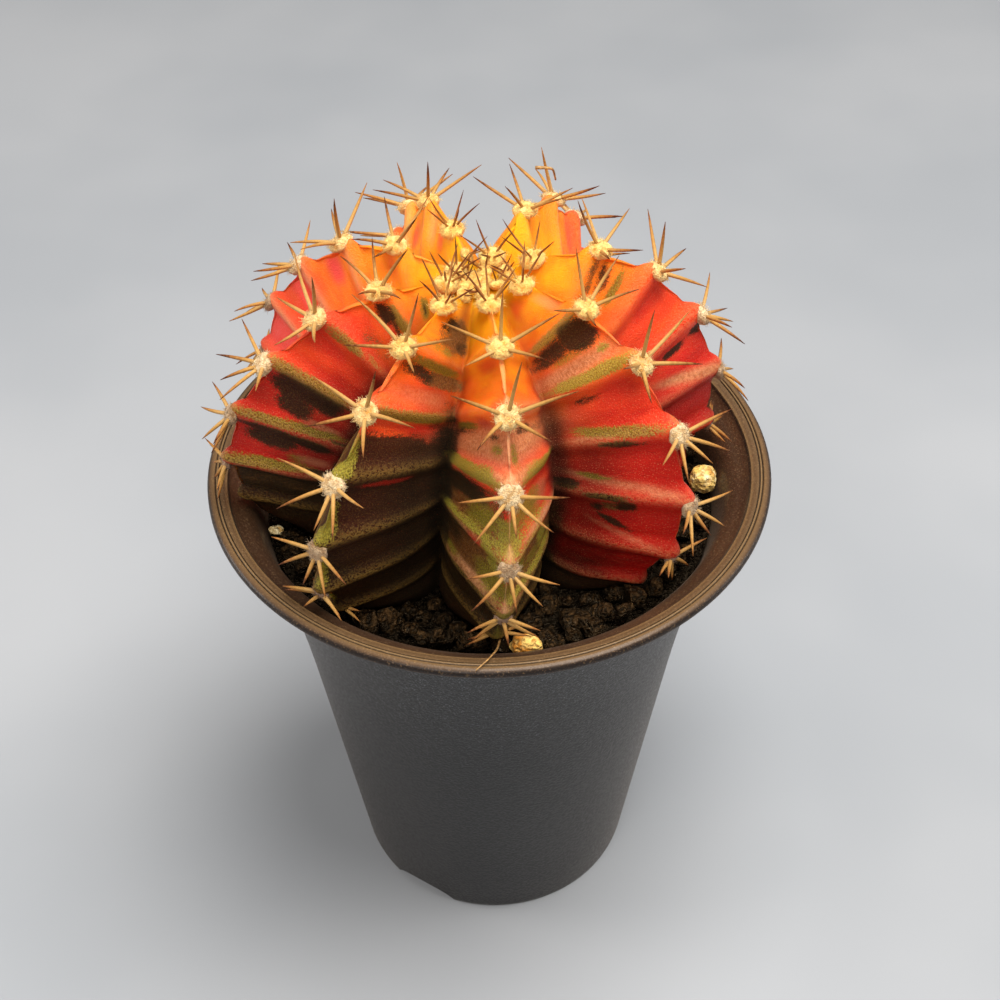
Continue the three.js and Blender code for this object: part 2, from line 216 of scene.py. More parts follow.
def mixColour(tree, factor, low, high, blend="MIX"):
    node = tree.nodes.new("ShaderNodeMix")
    node.data_type = "RGBA"
    node.blend_type = blend
    plug(tree, node, {0: factor, 6: low, 7: high})
    return node.outputs[2]


def maths(tree, operation, *values, clamp=False):
    node = tree.nodes.new("ShaderNodeMath")
    node.operation = operation
    node.use_clamp = clamp
    plug(tree, node, dict(enumerate(values)))
    return node.outputs[0]


def plus(tree, first, second):
    return maths(tree, "ADD", first, second)


def times(tree, first, second, clamp=False):
    return maths(tree, "MULTIPLY", first, second, clamp=clamp)


def timesPlus(tree, first, second, third, clamp=False):
    return maths(tree, "MULTIPLY_ADD", first, second, third, clamp=clamp)


def ramp(tree, factor, stops):
    node = tree.nodes.new("ShaderNodeValToRGB")
    elements = node.color_ramp.elements
    while len(elements) < len(stops):
        elements.new(0.5)
    for element, (place, code) in zip(elements, stops):
        element.position = place
        element.color = colour(code)
    plug(tree, node, {0: factor})
    return node.outputs[0]


def stretch(tree, value, low, high, toLow=0.0, toHigh=1.0):
    node = tree.nodes.new("ShaderNodeMapRange")
    node.interpolation_type = "SMOOTHSTEP"
    plug(tree, node, dict(enumerate((value, low, high, toLow, toHigh))))
    return node.outputs[0]


def attribute(tree, name):
    node = tree.nodes.new("ShaderNodeAttribute")
    node.attribute_name = name
    return node.outputs["Fac"]


def objectPlace(tree):
    return tree.nodes.new("ShaderNodeTexCoord").outputs["Object"]


def scaled(tree, vector, scale):
    node = tree.nodes.new("ShaderNodeMapping")
    plug(tree, node, {"Vector": vector, "Scale": scale})
    return node.outputs[0]


# Fine or coarse grains: a noise that is cut off between two heights.
def makeGranules():
    group = bpy.data.node_groups.new("granules", "ShaderNodeTree")
    for name in ("Vector", "Scale", "Detail", "Low", "High"):
        kind = "NodeSocketVector" if name == "Vector" else "NodeSocketFloat"
        group.interface.new_socket(name, in_out="INPUT", socket_type=kind)
    group.interface.new_socket("Mask", in_out="OUTPUT", socket_type="NodeSocketFloat")
    given = group.nodes.new("NodeGroupInput").outputs
    cloud = group.nodes.new("ShaderNodeTexNoise")
    plug(group, cloud, {name: given[name] for name in ("Vector", "Scale", "Detail")})
    mask = stretch(group, cloud.outputs["Fac"], given["Low"], given["High"])
    plug(group, group.nodes.new("NodeGroupOutput"), {"Mask": mask})
    return group


granuleGroup = makeGranules()


def granules(tree, vector, scale, low, high, detail):
    node = tree.nodes.new("ShaderNodeGroup")
    node.node_tree = granuleGroup
    plug(tree, node, {"Vector": vector, "Scale": scale, "Detail": detail, "Low": low, "High": high})
    return node.outputs["Mask"]


def bump(tree, height, distance, strength):
    node = tree.nodes.new("ShaderNodeBump")
    plug(tree, node, {"Strength": strength, "Distance": distance * mm, "Height": height})
    return node.outputs[0]


# The stem

stem = {
    "axis": (-1.1, -0.5),
    "heart": 89.9,  # height of the point that the folds converge on
    "rootHeart": 78,
    "furrowShare": 0.555,
    "crownFade": 1.6,
    "crestRound": 0.05,
    "fullness": 0.5,
    "footFullness": 1.5,
    "columnsOfRib": 44,
    "crowding": 0.5,  # how much closer the columns lie by the crests
    "rowsOfStep": 14,
    "keel": 0.03,  # height of the fine ridge on the crest
    "notch": 0.14,  # depth of the sharp nick above each areole's chin
    "socket": 0.45,  # how far the flesh swells round an areole
    "ripple": 0.16,
}
# The crest of a rib, seen from the side: distance from the axis and height of each row.
crestLine = np.array([
    (0, 112.4), (8.6, 114.9), (17.5, 114.2), (25.4, 109.2), (31.6, 101.4), (34.6, 92), (33.7, 83.2),
    (29.7, 76.6), (24.6, 72.6), (16, 69), (8.4, 64.5), (4.5, 57), (0, 50),
])
# Azimuth, lean over three areoles, first areole, step between areoles, reach and lift of each rib.
ribs = np.array([
    (-82, -4, 0.9, 0.98, 0.98, 0.5),
    (-123, -5, 1, 0.98, 1.01, -0.1),
    (-164, -6, 0.54, 0.95, 1.02, -0.5),
    (-207, 0, 0.42, 0.95, 1.01, -0.3),
    (-249, 1, 1.1, 1.04, 1.01, -0.3),
    (-297, -1, 0.55, 1.07, 1.015, 0.5),
    (-346, -4, 0.88, 1.03, 0.99, 0.2),
    (-394, -5, 0.79, 1.07, 0.975, 0.45),
])
foldAt = np.array([0, 0.15, 0.45, 0.66, 0.86, 1])
foldUp = np.array([-0.2, -1.4, -1, -0.9, 0.4, -0.2])
ribCount = len(ribs)
lowestRow = 7  # the last row with areoles
ribWidth, rowHeight = 44, 8.6  # about how many millimetres of skin there are to a rib and to a row


def crestPoint(step):
    last = len(crestLine) - 1
    p = np.clip(step, 0, last)
    i = np.minimum(np.floor(p).astype(int), last)
    w = (p - i)[..., None]
    before, here = crestLine[np.maximum(i - 1, 0)], crestLine[i]
    after, later = crestLine[np.minimum(i + 1, last)], crestLine[np.minimum(i + 2, last)]
    slope, slopeNext = (after - before) / 2, (later - here) / 2
    point = (2 * here - 2 * after + slope + slopeNext) * w**3
    point += (-3 * here + 3 * after - 2 * slope - slopeNext) * w**2 + slope * w + here
    return point[..., 0], point[..., 1]


# Where row v of a rib lies on the crest line. Areole number n lies on row n.
def stepOfRow(rib, v):
    own = np.where(v < 1, rib[..., 2] * v, rib[..., 2] + (v - 1) * rib[..., 3])
    return mix(own, v, smoothstep(7, 9, v))


# The stem with straight flanks. The column counts ribs, with the furrows at the halves.
def straightSkin(column, v):
    wrapped = np.mod(column, ribCount)
    number = np.floor(wrapped).astype(int) % ribCount
    across = wrapped - np.floor(wrapped)
    left, right = ribs[number], ribs[(number + 1) % ribCount]
    lap = np.where(number == ribCount - 1, -360.0, 0.0)
    blend = smoothstep(0, 1, across)
    stepLeft, stepRight = stepOfRow(left, v), stepOfRow(right, v)
    step = mix(stepLeft, stepRight, blend)
    azimuthLeft = left[..., 0] + left[..., 1] * (stepLeft - 3) / 3
    azimuthRight = right[..., 0] + lap + right[..., 1] * (stepRight - 3) / 3
    azimuth = np.radians(mix(azimuthLeft, azimuthRight, across))
    halfGap = np.radians(np.abs(azimuthLeft - azimuthRight) / 2)
    fromCrest = 1 - np.abs(1 - 2 * across)
    rounding = stem["crestRound"]
    t = (np.hypot(fromCrest, rounding) - rounding) / (math.hypot(1, rounding) - rounding)
    share = stem["furrowShare"]
    shallow = np.maximum(np.exp(-step / stem["crownFade"]), smoothstep(6, 10.5, step))
    depth = share + (1 - share) * shallow
    chord = depth * np.sin(halfGap) / (np.sin(t * halfGap) + depth * np.sin((1 - t) * halfGap))
    out = mix(chord, 1, np.maximum(1 - smoothstep(0, 1.2, step), smoothstep(10, 12, step)))
    crestOut, crestUp = crestPoint(step)
    radius = out * crestOut * mix(left[..., 4], right[..., 4], blend)
    lift = mix(left[..., 5], right[..., 5], blend) * np.minimum(step / 4, 1)
    lift = lift * (1 - smoothstep(8, 10, step))
    heart = mix(stem["heart"], stem["rootHeart"], smoothstep(5, 8, step))
    height = heart + out * (crestUp + lift - heart)
    x = stem["axis"][0] + radius * np.cos(azimuth)
    y = stem["axis"][1] + radius * np.sin(azimuth)
    return np.stack([x, y, height], -1)


def skinNormal(column, v):
    h = 0.01
    across = straightSkin(column + 5 * h, v) - straightSkin(column - 5 * h, v)
    down = straightSkin(column, v + h) - straightSkin(column, v - h)
    return -unit(np.cross(down, across))


def fullnessOf(v):
    grown = stem["fullness"] * smoothstep(0.5, 2, v)
    return mix(grown, stem["footFullness"], smoothstep(4, 7, v)) * (1 - smoothstep(8, 10, v))


# The folds of one areole's step: a dent under the areole, a plain face, a chin above the next one.
def foldHeight(v):
    soft = 0.05
    shares = [np.mod(v + shift, 1) for shift in (-soft, 0, soft)]
    height = sum(np.interp(share, foldAt, foldUp) for share in shares) / 3
    return height * plateau(0.8, 2, 6.9, 7.4, v)


def signedAcross(column):
    return column - np.round(column)


def raisedSkin(column, v, distance):
    fromCrest = 2 * np.abs(signedAcross(column))
    up = fullnessOf(v) * np.sin(np.pi * fromCrest) + distance
    return straightSkin(column, v) + skinNormal(column, v) * up[..., None]


# The finished skin: folds, a fine keel on the crest, swollen sockets and small ripples.
def skin(column, v):
    side = signedAcross(column)
    fromCrest = 2 * np.abs(side)
    folds = foldHeight(v) * mix(1, 0.3, fromCrest)
    body = plateau(0.9, 1.6, 6.8, 7.4, v)
    share = np.mod(v, 1)
    between = plateau(0.12, 0.3, 0.7, 0.9, share)
    keel = stem["keel"] * np.exp(-((side * ribWidth / 0.7) ** 2)) * between * body
    fromRow = v - np.clip(np.round(v), 1, lowestRow)
    toAreole = np.hypot(side * ribWidth, fromRow * rowHeight)
    socket = stem["socket"] * np.exp(-((toAreole / 2.6) ** 2)) * smoothstep(0.6, 1, v)
    nick = plateau(0.52, 0.635, 0.645, 0.69, share)
    notch = -stem["notch"] * nick * np.exp(-((side / 0.13) ** 2)) * body
    flat = np.stack([side * 5.0, v * 7.0, np.round(column) * 5.3], -1).reshape(-1, 3)
    ripple = np.array([noise.noise(Vector(p)) + 0.5 * noise.noise(Vector(p) * 2.3) for p in flat])
    ripple = ripple.reshape(side.shape) * stem["ripple"] * body * mix(0.5, 1, fromCrest)
    return raisedSkin(column, v, folds + keel + socket + notch + ripple)


def stemRows(rowsOfStep):
    crown = np.linspace(0, 1, max(rowsOfStep // 2 + 4, 5))[:-1]
    body = np.linspace(1, lowestRow, (lowestRow - 1) * rowsOfStep + 1)
    root = np.array([7.1, 7.2, 7.4, 7.6, 8, 8.5, 9, 9.5, 10, 10.6, 11.3, 12])
    return np.concatenate([crown, body, root])


# A sphere whose vertices are moved to their places on the skin, with the column and row of each.
def stemMesh(place, columnsOfRib, rowsOfStep):
    rows = stemRows(rowsOfStep)
    columns = ribCount * columnsOfRib
    bm = bmesh.new()
    bmesh.ops.create_uvsphere(bm, u_segments=columns, v_segments=len(rows) - 1, radius=1)
    points = np.array([vert.co for vert in bm.verts])
    ring = np.round(np.arccos(np.clip(points[:, 2], -1, 1)) / math.pi * (len(rows) - 1)).astype(int)
    turn = np.round(np.arctan2(points[:, 1], points[:, 0]) / (2 * math.pi) * columns).astype(int)
    slot = np.mod(-turn, columns)
    share = (slot % columnsOfRib) / columnsOfRib
    share = share - stem["crowding"] * np.sin(2 * math.pi * share) / (2 * math.pi)
    column = slot // columnsOfRib + share
    v = rows[ring]
    placed = place(column, v)
    for vert, point in zip(bm.verts, placed):
        vert.co = point
    return bm, column, v


# The skin's pattern

# Rows where each rib's skin turns from gold to orange, to red and to crimson, on its two sides,
# the row from which that side is dark, and how strongly painted shade darkens its flank towards the
# furrow.
ribTones = [
    {"right": (2.1, 3.8, 5.1, 7.0, 6.3, 0.25), "left": (2.1, 3.7, 4.9, 7.0, 5.9, 0.1)},
    {"right": (1.7, 2.9, 4.5, 6.0, 3.2, 1.0), "left": (1.7, 2.8, 4.0, 6.0, 3.5, 0.6)},
    {"right": (1.6, 2.7, 4.8, 7.0, 5.85, 0.75), "left": (1.9, 3.0, 5.0, 7.5, 6.1, 0.5)},
    {"right": (2.7, 4.2, 8.0, 10.0, 9.0, 0.15), "left": (2.4, 3.6, 6.0, 9.0, 8.0, 0.3)},
    {"right": (3.0, 4.6, 7.0, 10.0, 9.0, 0.1), "left": (2.2, 3.6, 6.0, 9.0, 8.0, 0.2)},
    {"right": (2.4, 3.6, 5.4, 8.0, 9.0, 0.3), "left": (3.2, 4.5, 6.4, 9.0, 9.0, 0.1)},
    {"right": (1.9, 3.0, 4.4, 6.5, 9.0, 0.3), "left": (2.2, 3.3, 5.0, 7.5, 9.0, 0.4)},
    {"right": (1.7, 2.9, 4.2, 6.5, 8.0, 0.3), "left": (1.75, 3.1, 4.8, 7.4, 6.9, 0.75)},
]
markKinds = ("dark", "brown", "olive", "green", "red", "pink", "tan", "pale")
# Marks on the skin, for each rib and kind: row, place across the rib (the right side is below 0),
# half its height in rows, half its width, strength (below 0 it clears marks of its kind), and for
# some how many rows it drops towards the furrow.
skinMarks = [
    {
        "dark": [
            (3.23, -0.17, 0.09, 0.08, 0.85), (3.3, -0.34, 0.13, 0.1, 0.5), (3.3, 0.12, 0.09, 0.04, 0.7),
            (3.2, 0.34, 0.1, 0.12, 0.6), (4.2, 0.34, 0.27, 0.22, 1), (5.2, 0.36, 0.5, 0.15, 0.7),
            (4.98, 0.33, 0.13, 0.17, 1), (6.6, 0.4, 0.7, 0.2, 1), (6.6, -0.42, 0.7, 0.14, 0.9),
            (5.4, -0.3, 0.25, 0.14, 0.5), (5.9, 0, 0.1, 0.55, 1.1), (7, 0, 0.22, 0.6, 1),
        ],
        "brown": [(5.6, 0.3, 1.75, 0.32, 1.1), (6.1, -0.25, 1.1, 0.32, 1.1)],
        "olive": [
            (3.1, 0.34, 0.1, 0.13, 0.9), (3.55, -0.07, 0.2, 0.03, 0.7), (3.45, 0.1, 0.13, 0.04, 0.65),
            (4.5, -0.13, 0.32, 0.14, 0.8), (4.88, 0, 0.1, 0.13, 0.9), (4.55, 0.17, 0.27, 0.11, 0.75),
            (4.9, -0.12, 0.09, 0.1, 0.85), (6.15, -0.17, 0.3, 0.16, 0.75), (5.55, -0.22, 0.2, 0.16, 0.6),
            (5.5, 0.05, 0.3, 0.13, 0.8), (5.35, -0.1, 0.2, 0.03, 0.9), (5.7, 0.33, 0.08, 0.12, 0.8),
            (6.5, 0.27, 0.2, 0.05, 0.6),
        ],
        "green": [
            (3.93, 0.26, 0.12, 0.27, 1.05, -0.4), (3.92, -0.28, 0.12, 0.25, 0.9),
            (3.82, 0.14, 0.13, 0.07, 0.75), (3.85, -0.16, 0.12, 0.08, 0.7), (4.6, 0, 0.25, 0.08, 1.2),
            (4.74, -0.18, 0.05, 0.17, 0.6), (4.77, 0.26, 0.07, 0.26, 0.85), (4.92, 0.08, 0.1, 0.04, 0.8),
            (5.4, -0.28, 0.4, 0.06, 0.75, -0.3), (5.22, 0.09, 0.1, 0.03, 0.9),
            (5.72, -0.2, 0.08, 0.24, 0.9),
        ],
        "red": [
            (2.12, 0.17, 0.12, 0.08, 0.7), (3.08, 0.17, 0.1, 0.05, 1), (3.67, -0.16, 0.07, 0.14, 0.75),
            (3.6, -0.4, 0.2, 0.1, 0.5), (4.88, -0.32, 0.06, 0.16, 0.9), (4.93, 0.15, 0.08, 0.05, 1.1),
        ],
        "pink": [(3.66, 0.13, 0.1, 0.12, 0.55)],
        "tan": [
            (2.95, -0.25, 0.13, 0.27, 0.5), (3.4, 0, 0.33, 0.6, 0.8), (3.82, 0, 0.13, 0.2, 0.8),
            (4.45, -0.27, 0.2, 0.09, 0.5), (4.78, -0.28, 0.08, 0.22, 0.9, 0.2),
            (5.72, 0.16, 0.07, 0.12, 1.1), (6.73, 0.2, 0.04, 0.2, 0.4),
        ],
        "pale": [(1.5, 0, 0.45, 0.07, 0.6)],
    },
    {
        "dark": [
            (1.12, -0.22, 0.1, 0.1, 0.8), (1.27, -0.17, 0.07, 0.06, 0.8), (1.45, -0.42, 0.15, 0.1, 0.6),
            (2.16, -0.17, 0.14, 0.11, 0.9, 0.4), (2.98, -0.47, 0.16, 0.07, 0.8),
            (4.08, -0.19, 0.09, 0.12, -0.75), (4.95, -0.45, 2.3, 0.16, 1.1),
        ],
        "brown": [(1.3, -0.32, 0.4, 0.2, 0.8), (2.25, -0.36, 0.17, 0.2, 0.85)],
        "olive": [
            (1.68, -0.22, 0.13, 0.12, 0.6), (2.03, -0.27, 0.1, 0.23, 0.95), (2.95, -0.24, 0.12, 0.28, 1),
        ],
        "green": [
            (3.6, 0, 0.34, 0.055, 1.1), (4.55, 0, 0.32, 0.055, 1.1), (5.52, 0, 0.3, 0.045, 0.9),
            (6.4, 0, 0.3, 0.035, 0.75),
        ],
        "red": [(3.12, -0.28, 0.08, 0.23, 0.8, 0.2), (4.08, -0.19, 0.09, 0.12, 1)],
        "tan": [(2.6, -0.22, 0.15, 0.2, 0.35)],
    },
    {
        "dark": [
            (1.43, -0.27, 0.06, 0.08, 0.75), (2.1, -0.15, 0.14, 0.08, 1.15),
            (2.06, -0.27, 0.07, 0.12, 0.75), (4.11, -0.2, 0.25, 0.17, 1.2), (4.42, -0.17, 0.22, 0.08, 1),
            (3.92, -0.35, 0.06, 0.06, 0.8), (4.79, -0.39, 0.06, 0.06, 0.9), (5.08, -0.2, 0.17, 0.2, 1.2),
            (5.22, -0.14, 0.24, 0.1, 1), (5.73, -0.31, 0.08, 0.07, 0.9), (6.35, -0.2, 0.25, 0.3, -0.4),
        ],
        "brown": [
            (2.02, -0.24, 0.22, 0.18, 0.42), (2.55, -0.28, 0.2, 0.15, 0.36), (6.35, -0.2, 0.35, 0.32, 1),
        ],
        "olive": [
            (1.42, -0.26, 0.1, 0.14, 1), (1.98, -0.25, 0.1, 0.19, 1, -0.15),
            (2.96, -0.15, 0.11, 0.12, 0.95, -0.3), (2.82, -0.36, 0.05, 0.12, 0.6),
            (3.87, -0.17, 0.13, 0.21, 1.05), (4.86, -0.2, 0.09, 0.25, 1.1, -0.45),
            (5.5, -0.23, 0.1, 0.05, 0.7), (5.82, -0.15, 0.1, 0.19, 1, -0.4),
        ],
        "red": [
            (2.15, -0.25, 0.06, 0.1, 0.8), (3.22, -0.14, 0.17, 0.1, 0.9), (4.5, -0.06, 0.2, 0.05, 0.8),
        ],
        "tan": [(4.6, -0.3, 0.07, 0.1, 0.6)],
        "pale": [(5.5, -0.3, 0.1, 0.07, 0.55)],
    },
    {
        "red": [(2.15, -0.12, 0.17, 0.1, 0.5)],
        "pink": [(3.37, -0.09, 0.16, 0.07, 1), (4.3, -0.1, 0.13, 0.12, 0.9), (5.4, -0.1, 0.35, 0.2, 0.8)],
        "pale": [
            (1.5, -0.04, 0.25, 0.05, 0.5), (2.95, -0.13, 0.1, 0.14, 0.6), (3.95, -0.12, 0.13, 0.15, 0.8),
            (4.9, -0.12, 0.1, 0.14, 0.7),
        ],
    },
    {
        "pink": [(1.35, -0.14, 0.12, 0.08, 0.6), (2.5, -0.16, 0.16, 0.06, 0.6)],
        "pale": [
            (1.65, -0.1, 0.12, 0.12, 0.6), (2.1, -0.12, 0.14, 0.12, 0.8), (2.8, -0.12, 0.12, 0.14, 0.6),
        ],
    },
    {
        "pink": [(3.6, 0.1, 0.15, 0.08, 0.5)],
    },
    {
        "dark": [
            (2.19, 0.11, 0.05, 0.07, 0.8), (2.3, 0.14, 0.12, 0.09, 0.7), (4.15, 0.02, 0.11, 0.05, 1.1),
            (4.18, 0.14, 0.09, 0.06, 1), (5.63, 0, 0.1, 0.03, 1),
        ],
        "brown": [(2.03, 0.14, 0.14, 0.13, 0.5)],
        "olive": [(2.52, 0.14, 0.1, 0.1, 0.9)],
        "red": [(3.2, 0.11, 0.17, 0.09, 0.9), (3.87, 0.12, 0.05, 0.12, 0.9)],
        "pink": [(1.6, 0.02, 0.1, 0.03, 0.7)],
        "tan": [(4.9, 0.12, 0.1, 0.15, 0.8, -1.5)],
    },
    {
        "dark": [
            (2.17, 0.13, 0.27, 0.09, 1.3), (2.17, 0.33, 0.22, 0.2, 0.8), (3.15, 0.24, 0.09, 0.08, 0.6),
            (4.08, 0.18, 0.07, 0.1, 0.9, -0.7), (4.72, 0.44, 0.14, 0.1, 0.9), (4.89, 0.25, 0.07, 0.1, 1),
            (5.08, 0.17, 0.15, 0.04, 1), (5.18, 0.28, 0.13, 0.035, 0.9),
            (5.83, 0.2, 0.07, 0.08, 0.95, -1.9),
        ],
        "brown": [(5.1, 0.22, 0.13, 0.06, 0.5)],
        "olive": [
            (1.92, 0.25, 0.09, 0.26, 0.95), (2.38, 0.24, 0.1, 0.14, 0.6),
            (2.86, 0.42, 0.08, 0.12, 0.7, -0.15), (3.87, 0.2, 0.1, 0.2, 0.9, -0.65),
            (4.76, 0.3, 0.06, 0.09, 0.8, -0.75),
        ],
        "green": [(2.55, 0.08, 0.06, 0.03, 0.8), (2.84, 0.2, 0.11, 0.22, 1, -0.15)],
        "red": [(1.1, 0.25, 0.12, 0.12, 0.5), (2.3, 0.07, 0.07, 0.03, 1), (3.18, 0.12, 0.2, 0.09, 0.9)],
        "tan": [
            (2.6, 0.25, 0.17, 0.27, 0.8), (3.8, 0.27, 0.06, 0.14, 0.6),
            (4.8, 0.28, 0.08, 0.22, 0.55, -0.75),
        ],
        "pale": [
            (1.45, 0.08, 0.25, 0.04, 0.7), (4.85, 0.07, 0.05, 0.06, 0.6, -1),
            (5.9, 0.17, 0.04, 0.13, 0.45, -1.5),
        ],
    },
]


# Loose marks for the sides that have none of their own.
def looseMarks():
    draw = seededRandom(23)
    marks = []
    for rib, side in ((1, 1), (2, 1), (3, 1), (4, 1), (5, -1), (6, -1), (7, -1)):
        for row in (2.4, 3, 3.9, 4.3, 5, 6):
            kind = "dark" if draw() < 0.45 else "olive"
            across = side * mix(0.12, 0.32, draw())
            halfWidth, halfRows = mix(0.1, 0.24, draw()), mix(0.07, 0.2, draw())
            place, strength = row + mix(-0.1, 0.25, draw()), mix(0.5, 1.05, draw())
            drop = mix(-0.9, 0.4, draw())
            marks.append((kind, rib, place, across, halfRows, halfWidth, strength, drop))
    return marks


# The marks that are listed for each rib, and the loose ones after them.
def everyMark():
    marks = []
    for rib, kinds in enumerate(skinMarks):
        for kind, rows in kinds.items():
            marks += [(kind, rib, *row) for row in rows]
    return marks + looseMarks()


def skinPattern(column, v):
    rib = np.mod(np.round(column).astype(int), ribCount)
    side = signedAcross(column)
    leftShare = smoothstep(-0.06, 0.06, side)
    rows = [np.array([tones[key] for tones in ribTones])[rib] for key in ("right", "left")]
    turns = mix(rows[0], rows[1], leftShare[:, None])
    # both ribs at a furrow share one tone there
    other = np.mod(rib + np.where(side > 0, 1, -1), ribCount)
    facing = [np.array([tones[key] for tones in ribTones])[other] for key in ("left", "right")]
    turnsOther = np.where((side > 0)[:, None], facing[1], facing[0])
    join = 0.5 * smoothstep(0.3, 0.5, np.abs(side))
    turns = mix(turns, turnsOther, join[:, None])
    warmth = np.zeros_like(v)
    for number in range(4):
        start = turns[:, number - 1] if number else np.full_like(v, 0.2)
        warmth += 0.25 * np.clip((v - start) / np.maximum(turns[:, number] - start, 0.2), 0, 1)
    layers = {"warmth": warmth}
    for kind in markKinds:
        layers[kind] = np.zeros_like(v)
    layers["dark"] = 1.15 * smoothstep(-0.1, 0.3, v - turns[:, 4])
    # painted shade: the flank darkens towards the furrow, more at its bottom, and painted shadow lies
    # over it in the furrows and on the lower flanks
    layers["deep"] = turns[:, 5] * smoothstep(0.08, 0.34, np.abs(side))
    layers["deep"] += 0.4 * smoothstep(0.36, 0.5, np.abs(side)) * smoothstep(1, 2, v)
    furrow = np.clip(1.8 * turns[:, 5], 0, 1) * smoothstep(0.3, 0.48, np.abs(side))
    layers["shadow"] = np.maximum(
        furrow * smoothstep(2.2, 3.6, v),
        0.55 * turns[:, 5] * smoothstep(0.1, 0.3, np.abs(side)) * smoothstep(3.2, 4.2, v),
    )
    for kind, number, row, across, halfRows, halfWidth, strength, *drop in everyMark():
        gap = np.mod(column - number - across + ribCount / 2, ribCount) - ribCount / 2
        rise = v - row - sum(drop) * np.abs(gap + across)
        away = (np.abs(rise / halfRows) ** 3 + np.abs(gap / halfWidth) ** 3) ** (1 / 3)
        mark = strength * (1 - smoothstep(0.35, 1.35, away))
        layers[kind] = np.maximum(layers[kind], mark) if strength > 0 else layers[kind] * (1 + mark)
    # each fold's ridge shows olive and gold on the dark parts, and a little pale on the rest: partly the
    # skin's own colour, partly a painted highlight
    ridgeOliveAndHighlight = np.exp(-(((np.mod(v + 0.5, 1) - 0.36) / 0.09) ** 2))
    layers["ridgeOliveAndHighlight"] = ridgeOliveAndHighlight * plateau(1.3, 2.2, 7, 7.5, v)
    keel = np.exp(-((side * ribWidth / 0.6) ** 2)) * np.where(rib == 0, 1.0, 0.15)
    layers["keel"] = keel * plateau(1.6, 2.2, 6.9, 7.3, v)
    return layers


